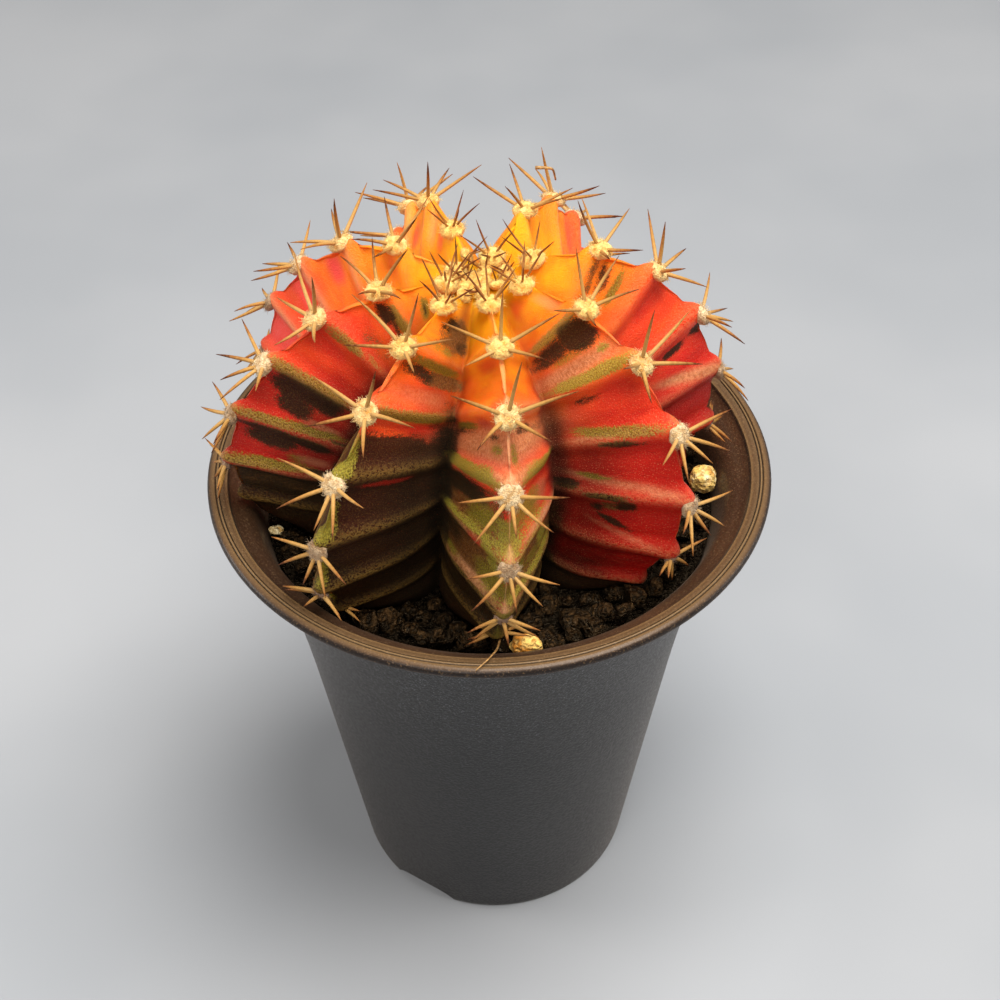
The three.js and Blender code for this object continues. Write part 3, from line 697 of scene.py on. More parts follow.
def skinLook(tree):
    flank = tree.nodes.new("ShaderNodeUVMap")
    flank.uv_map = "flank"
    place = flank.outputs[0]
    names = ("warmth", *markKinds, "ridgeOliveAndHighlight", "keel", "deep", "shadow")
    layer = {name: attribute(tree, name) for name in names}
    fine = granules(tree, place, 4.6, 0.25, 0.75, 3)
    grain = granules(tree, place, 1.9, 0.22, 0.78, 3)
    streak = granules(tree, scaled(tree, place, (0.3, 1, 1)), 0.85, 0.22, 0.78, 3)
    blotch = granules(tree, scaled(tree, place, (0.35, 1, 1)), 0.36, 0.15, 0.85, 3)
    cloud = granules(tree, scaled(tree, place, (0.5, 1, 1)), 0.16, 0.25, 0.75, 2)

    wander = timesPlus(tree, streak, 0.07, timesPlus(tree, cloud, 0.16, -0.13))
    warmth = plus(tree, layer["warmth"], wander)
    golds = [(0.0, "#ffb60c"), (0.18, "#ff9414"), (0.34, "#fb6c1c"), (0.5, "#ec4520")]
    reds = [(0.66, "#cf2218"), (0.84, "#b00f0e"), (1.0, "#5a0707")]
    base = ramp(tree, warmth, golds + reds)
    # painted shade multiplied into the colour towards the furrows
    deepMask = times(tree, layer["deep"], 1.0, clamp=True)
    base = mixColour(tree, deepMask, base, "#ad9479", "MULTIPLY")
    wave = timesPlus(tree, streak, 0.4, timesPlus(tree, blotch, 0.5, -0.45))
    speck = timesPlus(tree, grain, 0.36, timesPlus(tree, fine, 0.6, -0.48))
    edge = plus(tree, wave, speck)

    # The share of a mark at each place, broken up into grains where it fades.
    def speckled(name, low, high):
        worn = timesPlus(tree, edge, stretch(tree, layer[name], 0, 0.35, 0, 0.7), layer[name])
        return stretch(tree, worn, low, high)

    # Lays a colour over the rest, plain or mixed of two by a pattern.
    def coat(under, mask, share, first, second=None, pattern=None):
        shown = mask if share == 1 else times(tree, mask, share)
        return mixColour(tree, shown, under, mixColour(tree, pattern, first, second) if second else first)

    base = coat(base, speckled("brown", 0.2, 0.6), 0.94, "#3a220c", "#7c5628", grain)
    base = coat(base, layer["pink"], 1, "#fa4b44")
    base = coat(base, layer["red"], 1, "#e6331c", "#961211", warmth)
    base = coat(base, layer["tan"], 1, "#9a6038", "#cf9468", grain)
    shade = coat(base, speckled("olive", 0.2, 0.8), 0.9, "#3c3209", "#968728", fine)
    darkMask = speckled("dark", 0.25, 0.8)
    darkColour = mixColour(tree, grain, "#090403", "#22150b")
    # fine lighter specks in the dark patches are painted glints
    darkColour = mixColour(tree, stretch(tree, fine, 0.62, 0.8, 0, 0.5), darkColour, "#57421f")
    shade = coat(shade, darkMask, 0.96, darkColour)
    # painted highlight along the fold ridges, pale on the bright skin and olive gold on the dark patches,
    # partly the skin's own colour
    ridgeOliveAndHighlightMask = times(tree, layer["ridgeOliveAndHighlight"], timesPlus(tree, darkMask, 0.66, 0.24))
    ridgeOliveAndHighlightMask = times(tree, ridgeOliveAndHighlightMask, stretch(tree, plus(tree, fine, grain), 0.5, 1.2))
    shade = coat(shade, ridgeOliveAndHighlightMask, 1, "#e6a068", "#7a5c2a", darkMask)
    shade = coat(shade, speckled("green", 0.2, 0.7), 0.88, "#605615", "#a89b38", fine)
    shade = coat(shade, layer["pale"], 0.6, "#e8a878")
    shade = coat(shade, layer["keel"], 0.4, "#ffb88a", "#8a8234", darkMask)
    shade = mixColour(tree, layer["shadow"], shade, "#4a4038", "MULTIPLY")
    # painted glints: fine light specks, peach on the bright skin and gold on the dark patches
    paintedSkinGlints = granules(tree, place, 6.0, 0.62, 0.7, 1)
    shade = coat(shade, paintedSkinGlints, 0.26, "#ffb482", "#8a6c3c", darkMask)
    pores = granules(tree, place, 3.0, 0.68, 0.74, 1)
    shade = coat(shade, pores, 0.3, "#7c2408")
    rough = timesPlus(tree, layer["shadow"], 0.45, stretch(tree, fine, 0, 1, 0.3, 0.5))
    return {
        "Base Color": shade,
        "Roughness": timesPlus(tree, darkMask, 0.18, rough, clamp=True),
        "Specular IOR Level": 0.26,
        "Specular Tint": "#ffe0bc",
        "Subsurface Weight": 0.22,
        "Subsurface Radius": (1.0, 0.42, 0.16),
        "Subsurface Scale": 0.002,
        "Normal": bump(tree, timesPlus(tree, grain, 0.6, fine), 0.07, 0.8),
    }


ribApart = 120  # keeps the grain of the ribs apart


# A map of the flanks in millimetres: across from the crest and down along it, each rib on its own.
def addFlankMap(mesh, column, v):
    uv = mesh.uv_layers.new(name="flank")
    corner = np.zeros(len(mesh.loops), int)
    mesh.loops.foreach_get("vertex_index", corner)
    starts = np.zeros(len(mesh.polygons), int)
    totals = np.zeros(len(mesh.polygons), int)
    mesh.polygons.foreach_get("loop_start", starts)
    mesh.polygons.foreach_get("loop_total", totals)
    place = np.zeros((len(corner), 2))
    isPole = (v < 1e-6) | (v > 11.999)
    for start, total in zip(starts, totals):
        verts = corner[start : start + total]
        spread = column[verts].copy()
        known = ~isPole[verts]
        if spread[known].max() - spread[known].min() > ribCount / 2:
            spread[spread < ribCount / 2] += ribCount
        spread[~known] = spread[known].mean()
        rib = round(spread[known].mean())
        place[start : start + total, 0] = (spread - rib) * ribWidth
        place[start : start + total, 1] = v[verts] * rowHeight + ribApart * (rib % ribCount)
    uv.data.foreach_set("uv", place.ravel())


def makeStem():
    bm, column, v = stemMesh(skin, stem["columnsOfRib"], stem["rowsOfStep"])
    stemPoints = np.array([vert.co for vert in bm.verts])
    bm.normal_update()
    stemNormals = np.array([vert.normal for vert in bm.verts])
    piece = finishPiece(bm, "stem", "cactus", makeMaterial("variegatedSkin", skinLook), ["cactus"])
    addNumbers(piece.data, skinPattern(column, v))
    addFlankMap(piece.data, column, v)
    return stemPoints, stemNormals


stemPoints, stemNormals = makeStem()

# Areoles: wool and spines

wool = {
    "side": 1.95,
    "along": 2.1,
    "out": 1.3,
    "worn": 0.5,  # size of the lowest pads, as a share
    "thinned": 0.78,  # and how far the old pads' wool has worn off
    "lowest": 77,
    "detail": 3,
    "body": 0.84,  # size of the felted mound within its hairs
    "lumps": 0.08,
    "variants": 8,
    "hairs": 180,
    "hairLength": (0.3, 0.9),
    "hairRadius": 0.028,
    "seed": 77,
}
spines = {
    "crown": 4.8,
    "full": 6.9,
    "low": 3.4,
    "radius": 0.28,
    "thin": 0.6,  # thickness by the crown, as a share
    "taper": (1.05, 1.0, 0.95, 0.86, 0.72, 0.48, 0.12),
    "sides": 6,
    "rings": 7,
    "floor": 77.2,  # no spine reaches lower
    "rimClear": 0.8,
    "turn": 7,
    "lean": 6,
    "uneven": 0.12,
    "seed": 41,
}
# Down to a row: the direction of each spine round the areole, its lean and its share of the length.
spineSets = [
    (1, [(40, 48, 0.8), (-48, 48, 0.85), (112, 50, 1), (-108, 46, 1), (178, 62, 0.9)]),
    (3, [(52, 26, 0.8), (-50, 28, 0.85), (104, 28, 1), (-100, 26, 1.05), (-168, 52, 0.95)]),
    (7, [(-6, 36, 0.7), (48, 27, 0.95), (-46, 28, 0.95), (94, 24, 0.95), (-92, 24, 1.05)]),
]
buds = {"rows": ((0.55, 0.62), (0.22, 0.5)), "spines": 2, "length": (2.4, 4.4), "radius": 0.13}
grains = {
    "grit_right": {"at": (30.9, 0.2), "half": (2.15, 2.2, 1.95), "seed": 5, "stain": 0.22},
    "grit_front": {"at": (4.4, -30.5), "half": (2.35, 1.5, 1.5), "seed": 9, "stain": 0.75},
    "grit_left": {"at": (-30.4, -7.6), "half": (1.2, 0.8, 0.6), "seed": 12, "stain": -0.3},
}
soilTop = 74.6
# The form of the pot's wall, which the spines and the crumbs keep clear of.
potWall = {
    "foot": 22.4,  # radius at the bottom
    "taper": 0.128,
    "flareFrom": 45,
    "flareOver": 34,
    "flare": 2.5,
    "thickness": 1.05,
    "top": 79,
    "rimTop": 82,
}


def wallRadius(height):
    flare = max(0, (height - potWall["flareFrom"]) / potWall["flareOver"])
    return potWall["foot"] + potWall["taper"] * height + potWall["flare"] * flare**2.5


def innerRadius(height):
    return wallRadius(height) - potWall["thickness"]


def findAreoles():
    found = []
    for number in range(ribCount):
        for row in range(1, lowestRow + 1):
            column, v = np.array(float(number)), np.array(float(row))
            place = Vector(straightSkin(column, v))
            if place.z < wool["lowest"]:
                continue
            out = Vector(skinNormal(column, v))
            down = Vector(straightSkin(column, v + 0.05) - straightSkin(column, v - 0.05)).normalized()
            side = down.cross(out).normalized()
            found.append((row, place, out, down, side))
    return found


# How far a point is from a grain's edge, seen from above.
def besideGrain(grain, point):
    return math.hypot(point.x - grain["at"][0], point.y - grain["at"][1]) - grain["half"][0]


# Whether a spine can pass through a point, clear of the soil, the rim and the grains.
def isClear(point):
    if point.z < spines["floor"]:
        return False
    if point.z < potWall["rimTop"] + spines["rimClear"]:
        if math.hypot(point.x, point.y) > innerRadius(min(point.z, potWall["top"])) - spines["rimClear"]:
            return False
    for grain in grains.values():
        top = soilTop + 2 * grain["half"][2] + spines["rimClear"]
        if besideGrain(grain, point) < spines["rimClear"] and point.z < top:
            return False
    return True


# The tip of a spine that is lifted step by step until all of it is clear.
def clearTip(root, direction, length):
    for lift in range(17):
        bent = (direction + Vector((0, 0, lift / 10))).normalized()
        if all(isClear(root + bent * length * share) for share in (0.25, 0.4, 0.55, 0.7, 0.85, 1)):
            return root + bent * length
    return None


# A small shape kept for copying: its mesh and where its vertices are.
def keepShape(bm):
    points = np.array([vert.co for vert in bm.verts])
    return {"mesh": meshOf(bm, "shape"), "points": points}


# Copies of kept shapes gathered for one mesh.
def newHeap():
    return {"bm": bmesh.new(), "points": [], "numbers": {}}


def addCopy(heap, shape, points, **numbers):
    heap["bm"].from_mesh(shape["mesh"])
    heap["points"].append(points)
    for name, values in numbers.items():
        heap["numbers"].setdefault(name, []).append(np.broadcast_to(values, len(points)))


def heapNumbers(heap):
    return {name: np.concatenate(parts) for name, parts in heap["numbers"].items()}


def placeHeap(heap):
    for vert, point in zip(heap["bm"].verts, np.concatenate(heap["points"])):
        vert.co = point


def finishHeap(heap, name, slot, material, **options):
    placeHeap(heap)
    piece = finishPiece(heap["bm"], name, slot, material, **options)
    addNumbers(piece.data, heapNumbers(heap))


# A straight closed tube of radius 1, from height 0 to 1.
def tubeShape(sides, rings):
    bm = bmesh.new()
    bmesh.ops.create_circle(bm, segments=sides, radius=1)
    edges = list(bm.edges)
    ends = [edges]
    for i in range(1, rings):
        made = bmesh.ops.extrude_edge_only(bm, edges=edges)["geom"]
        ring = [item for item in made if isinstance(item, bmesh.types.BMVert)]
        edges = [item for item in made if isinstance(item, bmesh.types.BMEdge)]
        edges = [edge for edge in edges if all(vert in ring for vert in edge.verts)]
        bmesh.ops.translate(bm, vec=(0, 0, 1 / (rings - 1)), verts=ring)
    ends.append(edges)
    for border in ends:
        bmesh.ops.edgeloop_fill(bm, edges=border)
    bmesh.ops.recalc_face_normals(bm, faces=bm.faces)
    return keepShape(bm)


# The vertices of a tube set round the given centres, each as far out as its size.
def setRound(shape, centres, heading, guide, size):
    side = unit(np.cross(heading, guide))
    flat = shape["points"][:, :1] * side + shape["points"][:, 1:2] * np.cross(heading, side)
    return centres + size * flat


# The vertices of a tube laid along a bent line, with its radius given at even steps.
def layTube(shape, root, middle, tip, radii):
    share = shape["points"][:, 2:3]
    centres = root * (1 - share) ** 2 + middle * 2 * share * (1 - share) + tip * share**2
    size = np.interp(share, np.linspace(0, 1, len(radii)), radii)
    return setRound(shape, centres, unit(tip - root), (0.31, 0.52, 0.79), size)


def spineLook(tree):
    along, age, tone = (attribute(tree, name) for name in ("along", "age", "tone"))
    grain = granules(tree, objectPlace(tree), 2600, 0.3, 0.7, 2)
    shift = plus(tree, along, timesPlus(tree, tone, 0.36, -0.18))
    place = plus(tree, timesPlus(tree, grain, 0.16, -0.08), shift)
    young = ramp(tree, place, [(0.0, "#c2883a"), (0.25, "#955a28"), (0.6, "#6c2f18"), (1.0, "#3a0e08")])
    old = ramp(tree, place, [(0.0, "#c29a60"), (0.4, "#b58849"), (0.8, "#925e30"), (1.0, "#522814")])
    return {
        "Base Color": mixColour(tree, age, young, old),
        "Roughness": stretch(tree, grain, 0, 1, 0.36, 0.6),
        "Specular IOR Level": 0.3,
        "Specular Tint": "#ffd9a8",
        "Normal": bump(tree, grain, 0.05, 0.5),
    }


def woolLook(tree):
    age, depth = attribute(tree, "age"), attribute(tree, "along")
    place = objectPlace(tree)
    curls = granules(tree, place, 1900, 0.3, 0.7, 3)
    fluff = granules(tree, place, 5200, 0.25, 0.75, 2)
    # painted light and shade on the wool: lit and shaded colours, mixed by the curls and by how far each
    # lump or hair stands out
    paintedLitWool = ramp(tree, age, [(0.0, "#ffe482"), (0.3, "#ffe296"), (0.6, "#f3dbae"), (1.0, "#a88468")])
    deep = ramp(tree, age, [(0.0, "#f59e30"), (0.3, "#e8a040"), (0.65, "#bb8c4e"), (1.0, "#6e4c3a")])
    share = timesPlus(tree, curls, 0.5, times(tree, depth, 0.6), clamp=True)
    return {
        "Base Color": mixColour(tree, share, deep, paintedLitWool),
        "Roughness": 0.9,
        "Sheen Weight": 0.15,
        "Normal": bump(tree, timesPlus(tree, curls, 0.4, fluff), 0.18, 0.8),
    }


woolMaterial = makeMaterial("areoleWool", woolLook)
spineMaterial = makeMaterial("spineHorn", spineLook)


# A pad of wool: a lumpy mound with short curled hairs.
def padShape(seed, hairTube):
    draw = seededRandom(seed)
    ball = bmesh.new()
    bmesh.ops.create_icosphere(ball, subdivisions=wool["detail"], radius=1)
    ball = keepShape(ball)
    sizes = np.array([wool["side"], wool["along"], wool["out"]])
    lumps = []
    for point in ball["points"]:
        place = Vector(point)
        lumps.append(noise.noise(place * 2.1 + Vector((seed, 0, 0))))
        lumps[-1] += 0.6 * noise.noise(place * 5.2 + Vector((0, seed, 0)))
    lumps = np.array(lumps)
    across = np.linalg.norm(ball["points"][:, :2], axis=1)
    hollow = 0.16 * np.exp(-((across / 0.3) ** 2)) * (ball["points"][:, 2] > 0)
    heap = newHeap()
    moved = ball["points"] * (wool["body"] + wool["lumps"] * lumps - hollow)[:, None] * sizes
    # how far each lump stands out, and a fixed share for the hairs, sets the wool's painted light
    addCopy(heap, ball, moved, along=0.5 + lumps)
    radii = wool["hairRadius"] * np.array([1, 0.85, 0.35])
    for _ in range(wool["hairs"]):
        azimuth, rise = 2 * math.pi * draw(), mix(-0.1, 1, draw())
        flat = math.sqrt(max(0, 1 - rise * rise))
        heading = np.array([flat * math.cos(azimuth), flat * math.sin(azimuth), rise])
        curl = np.array([draw() - 0.5, draw() - 0.5, draw() - 0.5]) * 1.7
        length = mix(*wool["hairLength"], draw())
        root = heading * sizes * wool["body"] * 0.9
        middle = root + (heading + curl * 0.7) * length * 0.6
        tip = root + unit(heading + curl * 1.4) * length
        addCopy(heap, hairTube, layTube(hairTube, root, middle, tip, radii), along=0.9)
    placeHeap(heap)
    return {**keepShape(heap["bm"]), **heapNumbers(heap)}


def makeAreoles():
    pads, horns = newHeap(), newHeap()
    hairTube = tubeShape(sides=3, rings=3)
    spineTube = tubeShape(spines["sides"], spines["rings"])
    shapes = [padShape(100 + i, hairTube) for i in range(wool["variants"])]
    taper = spines["radius"] * np.array(spines["taper"])
    placing = seededRandom(spines["seed"])
    draw = seededRandom(wool["seed"])
    for row, place, out, down, side in findAreoles():
        worn = mix(1, wool["worn"], float(smoothstep(5.5, 7, row)))
        sizes = [wool[key] * worn for key in ("side", "along", "out")]
        centre = place + out * (worn - 1)
        basis = Matrix((side, down, out)).transposed()
        age = float(smoothstep(0.5, 6.5, row))
        shape = shapes[int(draw() * len(shapes))]
        turned = np.array(basis @ Matrix.Rotation(2 * math.pi * draw(), 3, "Z"))
        left = worn * mix(1, wool["thinned"], float(smoothstep(3.5, 6, row)))
        points = np.array(centre) + left * shape["points"] @ turned.T
        addCopy(pads, shape, points, along=shape["along"], age=age)
        grown = mix(spines["full"], spines["low"], float(smoothstep(3, 7, row)))
        length = mix(spines["crown"], grown, float(smoothstep(1, 2, row)))
        grownHere = next(kinds for untilRow, kinds in spineSets if row <= untilRow)
        for around, lean, share in grownHere:
            turn = math.radians(around + mix(-spines["turn"], spines["turn"], placing()))
            tilt = math.radians(lean + mix(-spines["lean"], spines["lean"], placing()))
            reach = length * share * (1 + mix(-spines["uneven"], spines["uneven"], placing()))
            heading = down * math.cos(turn) * math.cos(tilt) + side * math.sin(turn) * math.cos(tilt)
            heading += out * math.sin(tilt)
            local = basis.transposed() @ heading
            inside = 1 / math.sqrt(sum((local[i] / sizes[i]) ** 2 for i in range(3)))
            tip = clearTip(centre + heading * inside * 0.8, heading, reach)
            if tip is None:
                continue
            tip.x = max(tip.x, cadBox[0][0] / mm + 0.05)
            tip.z = min(tip.z, cadBox[1][2] / mm - 0.2)
            root = centre + heading * inside * 0.35
            sag = Vector((draw() - 0.5, draw() - 0.5, draw() - 0.3)) * (tip - root).length * 0.1
            middle = root.lerp(tip, 0.5) + sag
            thickness = mix(spines["thin"], 1, float(smoothstep(1, 2.5, row)))
            line = (np.array(point) for point in (root, middle, tip))
            points = layTube(spineTube, *line, taper * thickness)
            ripe = float(smoothstep(0.4, 2.3, row))
            addCopy(horns, spineTube, points, along=spineTube["points"][:, 2], age=ripe, tone=draw())
    addBuds(pads, horns, shapes, spineTube, draw)
    finishHeap(pads, "wool", "cactus", woolMaterial)
    finishHeap(horns, "spines", "cactus", spineMaterial)


# The youngest areoles, close together by the crown.
def addBuds(pads, horns, shapes, spineTube, draw):
    taper = buds["radius"] * np.array(spines["taper"])
    for number in range(ribCount):
        for row, scale in buds["rows"]:
            column = np.array(number + 0.16 * (draw() - 0.5))
            v = np.array(row + 0.08 * (draw() - 0.5))
            centre, out = straightSkin(column, v), skinNormal(column, v)
            side = unit(np.cross(out, (0.2, 0.9, 0.3)))
            turned = np.stack([side, np.cross(out, side), out], -1)
            shape = shapes[int(draw() * len(shapes))]
            points = centre + scale * shape["points"] @ turned.T
            addCopy(pads, shape, points, along=shape["along"], age=0.0)
            for i in range(buds["spines"] if row > 0.4 else 0):
                turn = 2 * math.pi * (i + 0.6 * draw()) / buds["spines"]
                heading = unit(turned @ np.array([math.cos(turn), math.sin(turn), 0.7 + 1.4 * draw()]))
                length = mix(*buds["length"], draw()) * (0.5 + row)
                tip = centre + heading * length
                middle = (centre + tip) / 2 + np.array([draw() - 0.5, draw() - 0.5, 0]) * 0.6
                points = layTube(spineTube, centre, middle, tip, taper)
                addCopy(horns, spineTube, points, along=spineTube["points"][:, 2], age=0.1, tone=draw())


makeAreoles()

# The pot

pot = {
    "steps": 192,
    "sharpAngle": 50,
    "drains": 3,
    "drainAzimuth": -123,
    "drainWidth": 11,
    "drainHeight": 3.1,
    "drainReach": (18, 8),  # where the notch cutter starts out from the axis, and its length
    "brownFrom": 79.1,  # the rim is brown from here up, below as well as above
    # the lip's colours from its inner ridge to its outer edge: its brown, with painted highlights on the
    # ridges and painted shade in the grooves and at the edges
    "ringInside": 36.6,
    "ringOutside": 40,
    "rings": [
        (0.0, "#2e1e13"), (0.06, "#130b07"), (0.13, "#130b07"), (0.19, "#6e5332"), (0.3, "#553e26"),
        (0.45, "#5f472b"), (0.51, "#23170c"), (0.57, "#7e623e"), (0.635, "#23170c"), (0.7, "#6b5131"),
        (0.85, "#543d26"), (0.93, "#20140d"), (1.0, "#150d09"),
    ],
}


# Radius and height along the pot's section, from the middle of the foot round to the floor inside.
def potProfile():
    outerHeights = (1.2, 10, 20, 30, 42, 48, 53, 58, 62, 66, 70, 73, 76, 79)
    innerHeights = (78, 75, 72, 69, 66, 61, 56, 50, 42, 30, 20, 1.2)
    outer = [(wallRadius(height), height) for height in outerHeights]
    inner = [(innerRadius(height), height) for height in innerHeights]
    foot = [(0, 0), (21.8, 0), (22.15, 0.1), (22.35, 0.4)]
    rim = [
        (37.15, 80.3), (37.6, 80.55), (39.3, 80.6), (39.75, 80.7), (39.97, 81.0), (39.95, 81.4),
        (39.8, 81.68), (39.55, 81.86), (39.25, 81.95), (38.95, 82.0), (38.84, 81.94), (38.76, 81.7),
        (38.68, 81.92), (38.55, 81.98), (38.42, 81.94), (38.34, 81.7), (38.25, 81.86), (38.0, 81.84),
        (37.6, 81.72), (37.3, 81.6), (37.16, 81.56), (37.06, 81.3), (36.95, 81.12), (36.5, 80.3),
        (35.5, 79.85), (34.4, 79.15),
    ]
    return foot + outer + rim + inner + [(0, 1.2)]


def spinProfile(profile, steps):
    bm = bmesh.new()
    verts = [bm.verts.new((radius, 0, height)) for radius, height in profile]
    geometry = verts + [bm.edges.new(pair) for pair in zip(verts, verts[1:])]
    turn = {"cent": (0, 0, 0), "axis": (0, 0, 1), "angle": 2 * math.pi}
    bmesh.ops.spin(bm, geom=geometry, steps=steps, use_merge=True, **turn)
    bmesh.ops.remove_doubles(bm, verts=bm.verts, dist=1e-4)
    bmesh.ops.recalc_face_normals(bm, faces=bm.faces)
    return bm


# Cuts one closed bmesh out of another and gives the rest back as a bmesh.
def cutOut(bm, cutter):
    objects = []
    for name, source in (("cutBody", bm), ("cutTool", cutter)):
        objects.append(addObject(name, meshOf(source, name)))
    body, tool = objects
    modifier = body.modifiers.new("cut", "BOOLEAN")
    modifier.operation = "DIFFERENCE"
    modifier.solver = "EXACT"
    modifier.object = tool
    graph = bpy.context.evaluated_depsgraph_get()
    result = bmesh.new()
    result.from_mesh(body.evaluated_get(graph).to_mesh())
    for made in objects:
        bpy.data.objects.remove(made)
    return result


def drainCutter():
    bm = bmesh.new()
    start, length = pot["drainReach"]
    for number in range(pot["drains"]):
        made = bmesh.ops.create_circle(bm, cap_ends=True, segments=48, radius=1)["verts"]
        for vert in made:
            arch = vert.co.y if vert.co.y > 0 else vert.co.y * 0.4
            vert.co = Vector((vert.co.x * pot["drainWidth"] / 2, start, arch * pot["drainHeight"]))
        face = next(f for f in made[0].link_faces)
        extruded = bmesh.ops.extrude_face_region(bm, geom=[face])["geom"]
        moved = [item for item in extruded if isinstance(item, bmesh.types.BMVert)]
        bmesh.ops.translate(bm, vec=(0, length, 0), verts=moved)
        azimuth = math.radians(pot["drainAzimuth"] + number * 360 / pot["drains"] - 90)
        bmesh.ops.rotate(bm, cent=(0, 0, 0), matrix=Matrix.Rotation(azimuth, 3, "Z"), verts=made + moved)
    bmesh.ops.recalc_face_normals(bm, faces=bm.faces)
    return bm


def potLook(tree):
    place = objectPlace(tree)
    inside = attribute(tree, "inside")
    grain = granules(tree, place, 2300, 0.3, 0.7, 2)
    paintedPotGlints = granules(tree, place, 4200, 0.6, 0.7, 1)
    dust = granules(tree, place, 1900, 0.62, 0.74, 3)
    drift = granules(tree, place, 60, 0.3, 0.7, 3)
    height = tree.nodes.new("ShaderNodeSeparateXYZ")
    plug(tree, height, {0: place})
    upper = stretch(tree, height.outputs[2], 40 * mm, 78 * mm)
    outer = mixColour(tree, drift, "#0c0c0d", "#121213")
    outer = mixColour(tree, times(tree, grain, 0.36), outer, "#2b2c2e")
    # the rim and the inner wall are brown: partly the plastic's own tint, partly painted warm light
    brown = mixColour(tree, drift, "#341f10", "#462d19")
    fromAxis = tree.nodes.new("ShaderNodeVectorMath")
    fromAxis.operation = "LENGTH"
    plug(tree, fromAxis, {0: scaled(tree, place, (1 / mm, 1 / mm, 0))})
    share = 1 / (pot["ringOutside"] - pot["ringInside"])
    ring = timesPlus(tree, fromAxis.outputs["Value"], share, -share * pot["ringInside"])
    # the lip's top gets rings of painted highlight and painted shade by the distance from the axis
    top = stretch(tree, height.outputs[2], 80.9 * mm, 81.3 * mm)
    brown = mixColour(tree, top, brown, ramp(tree, ring, pot["rings"]))
    shade = mixColour(tree, inside, outer, brown)
    # painted glints: pale specks on the outer wall, more of them towards the top where it catches the
    # light, few on the rim and inside
    shine = timesPlus(tree, upper, 0.5, timesPlus(tree, inside, -0.42, 0.12))
    shineColour = mixColour(tree, inside, "#7f8288", "#a98660")
    shade = mixColour(tree, times(tree, paintedPotGlints, shine), shade, shineColour)
    dustMask = times(tree, dust, timesPlus(tree, inside, 0.2, 0.04))
    return {
        "Base Color": mixColour(tree, dustMask, shade, "#9c7c50"),
        "Roughness": timesPlus(tree, inside, 0.15, stretch(tree, grain, 0, 1, 0.42, 0.62)),
        "Specular IOR Level": 0.22,
        "Coat Weight": 0.32,
        "Coat Roughness": 0.28,
        "Sheen Weight": 0.08,
        "Sheen Roughness": 0.35,
        "Sheen Tint": "#e6cdb4",
        "Normal": bump(tree, grain, 0.06, 0.8),
    }


def makePot():
    bm = cutOut(spinProfile(potProfile(), pot["steps"]), drainCutter())
    layer = bm.verts.layers.float.new("inside")
    for vert in bm.verts:
        height = vert.co.z
        inWall = height > 2 and vert.co.xy.length < wallRadius(min(height, potWall["top"])) - 0.5
        vert[layer] = 1.0 if height > pot["brownFrom"] or inWall else 0.0
    material = makeMaterial("mouldedPlastic", potLook)
    finishPiece(bm, "pot_fine", "pot", material, ["pot"], sharpAngle=pot["sharpAngle"])


makePot()

# The soil

soil = {
    "gap": 0.35,  # between the fill and the pot's wall
    "heights": (1.55, 20, 42, 56, 66, 74.0),
    "small": 1.5,
    "large": 3.1,
    "count": 340,
    "tries": 9000,
    "seed": 19,
    "turnSeed": 57,
    "innermost": 9,  # the least distance of a crumb from the axis
    "heaped": 1.5,  # how much higher the crumbs lie by the wall
    "variants": 9,
    "stemGap": 0.45,
    # the fill under the crumbs is nearly black: painted shade in the gaps
    "paintedGapShadeTone": 0.02,
    "sharpAngle": 40,
}


def soilLook(tree):
    place = objectPlace(tree)
    tone = attribute(tree, "tone")
    wrinkles = granules(tree, scaled(tree, place, (1, 0.45, 1.6)), 1500, 0.42, 0.6, 4)
    pores = granules(tree, place, 1500, 0.35, 0.65, 4)
    paintedGlintFlecks = granules(tree, place, 2400, 0.58, 0.72, 3)
    base = ramp(tree, tone, [(0.0, "#040302"), (0.5, "#080503"), (0.85, "#140d08"), (1.0, "#2c1e11")])
    shade = mixColour(tree, pores, "#050302", base)
    # tan on the wrinkles and in flecks, stronger on the crumbs' tops: painted glints, the wrinkles partly
    # the crumbs' own colour
    for pattern, code in ((wrinkles, "#5c4226"), (paintedGlintFlecks, "#8a663c")):
        shade = mixColour(tree, times(tree, times(tree, pattern, tone), 0.45), shade, code)
    return {
        "Base Color": shade,
        "Roughness": stretch(tree, pores, 0, 1, 0.5, 0.2),
        "Specular IOR Level": 0.27,
        "Specular Tint": "#ffdfb4",
        "Normal": bump(tree, plus(tree, pores, wrinkles), 0.26, 1.0),
    }


# A crumb: a cube of twenty-four faces, rounded and pushed about.
def crumbShape(seed):
    bm = bmesh.new()
    bmesh.ops.create_cube(bm, size=1.5)
    bmesh.ops.subdivide_edges(bm, edges=bm.edges, cuts=1, use_grid_fill=True)
    for vert in bm.verts:
        ball = vert.co.normalized()
        push = 0.92 + 0.6 * noise.noise(ball * 1.6 + Vector((seed * 3.7, 0, 0)))
        vert.co = vert.co.lerp(ball, 0.55) * push
    return keepShape(bm)


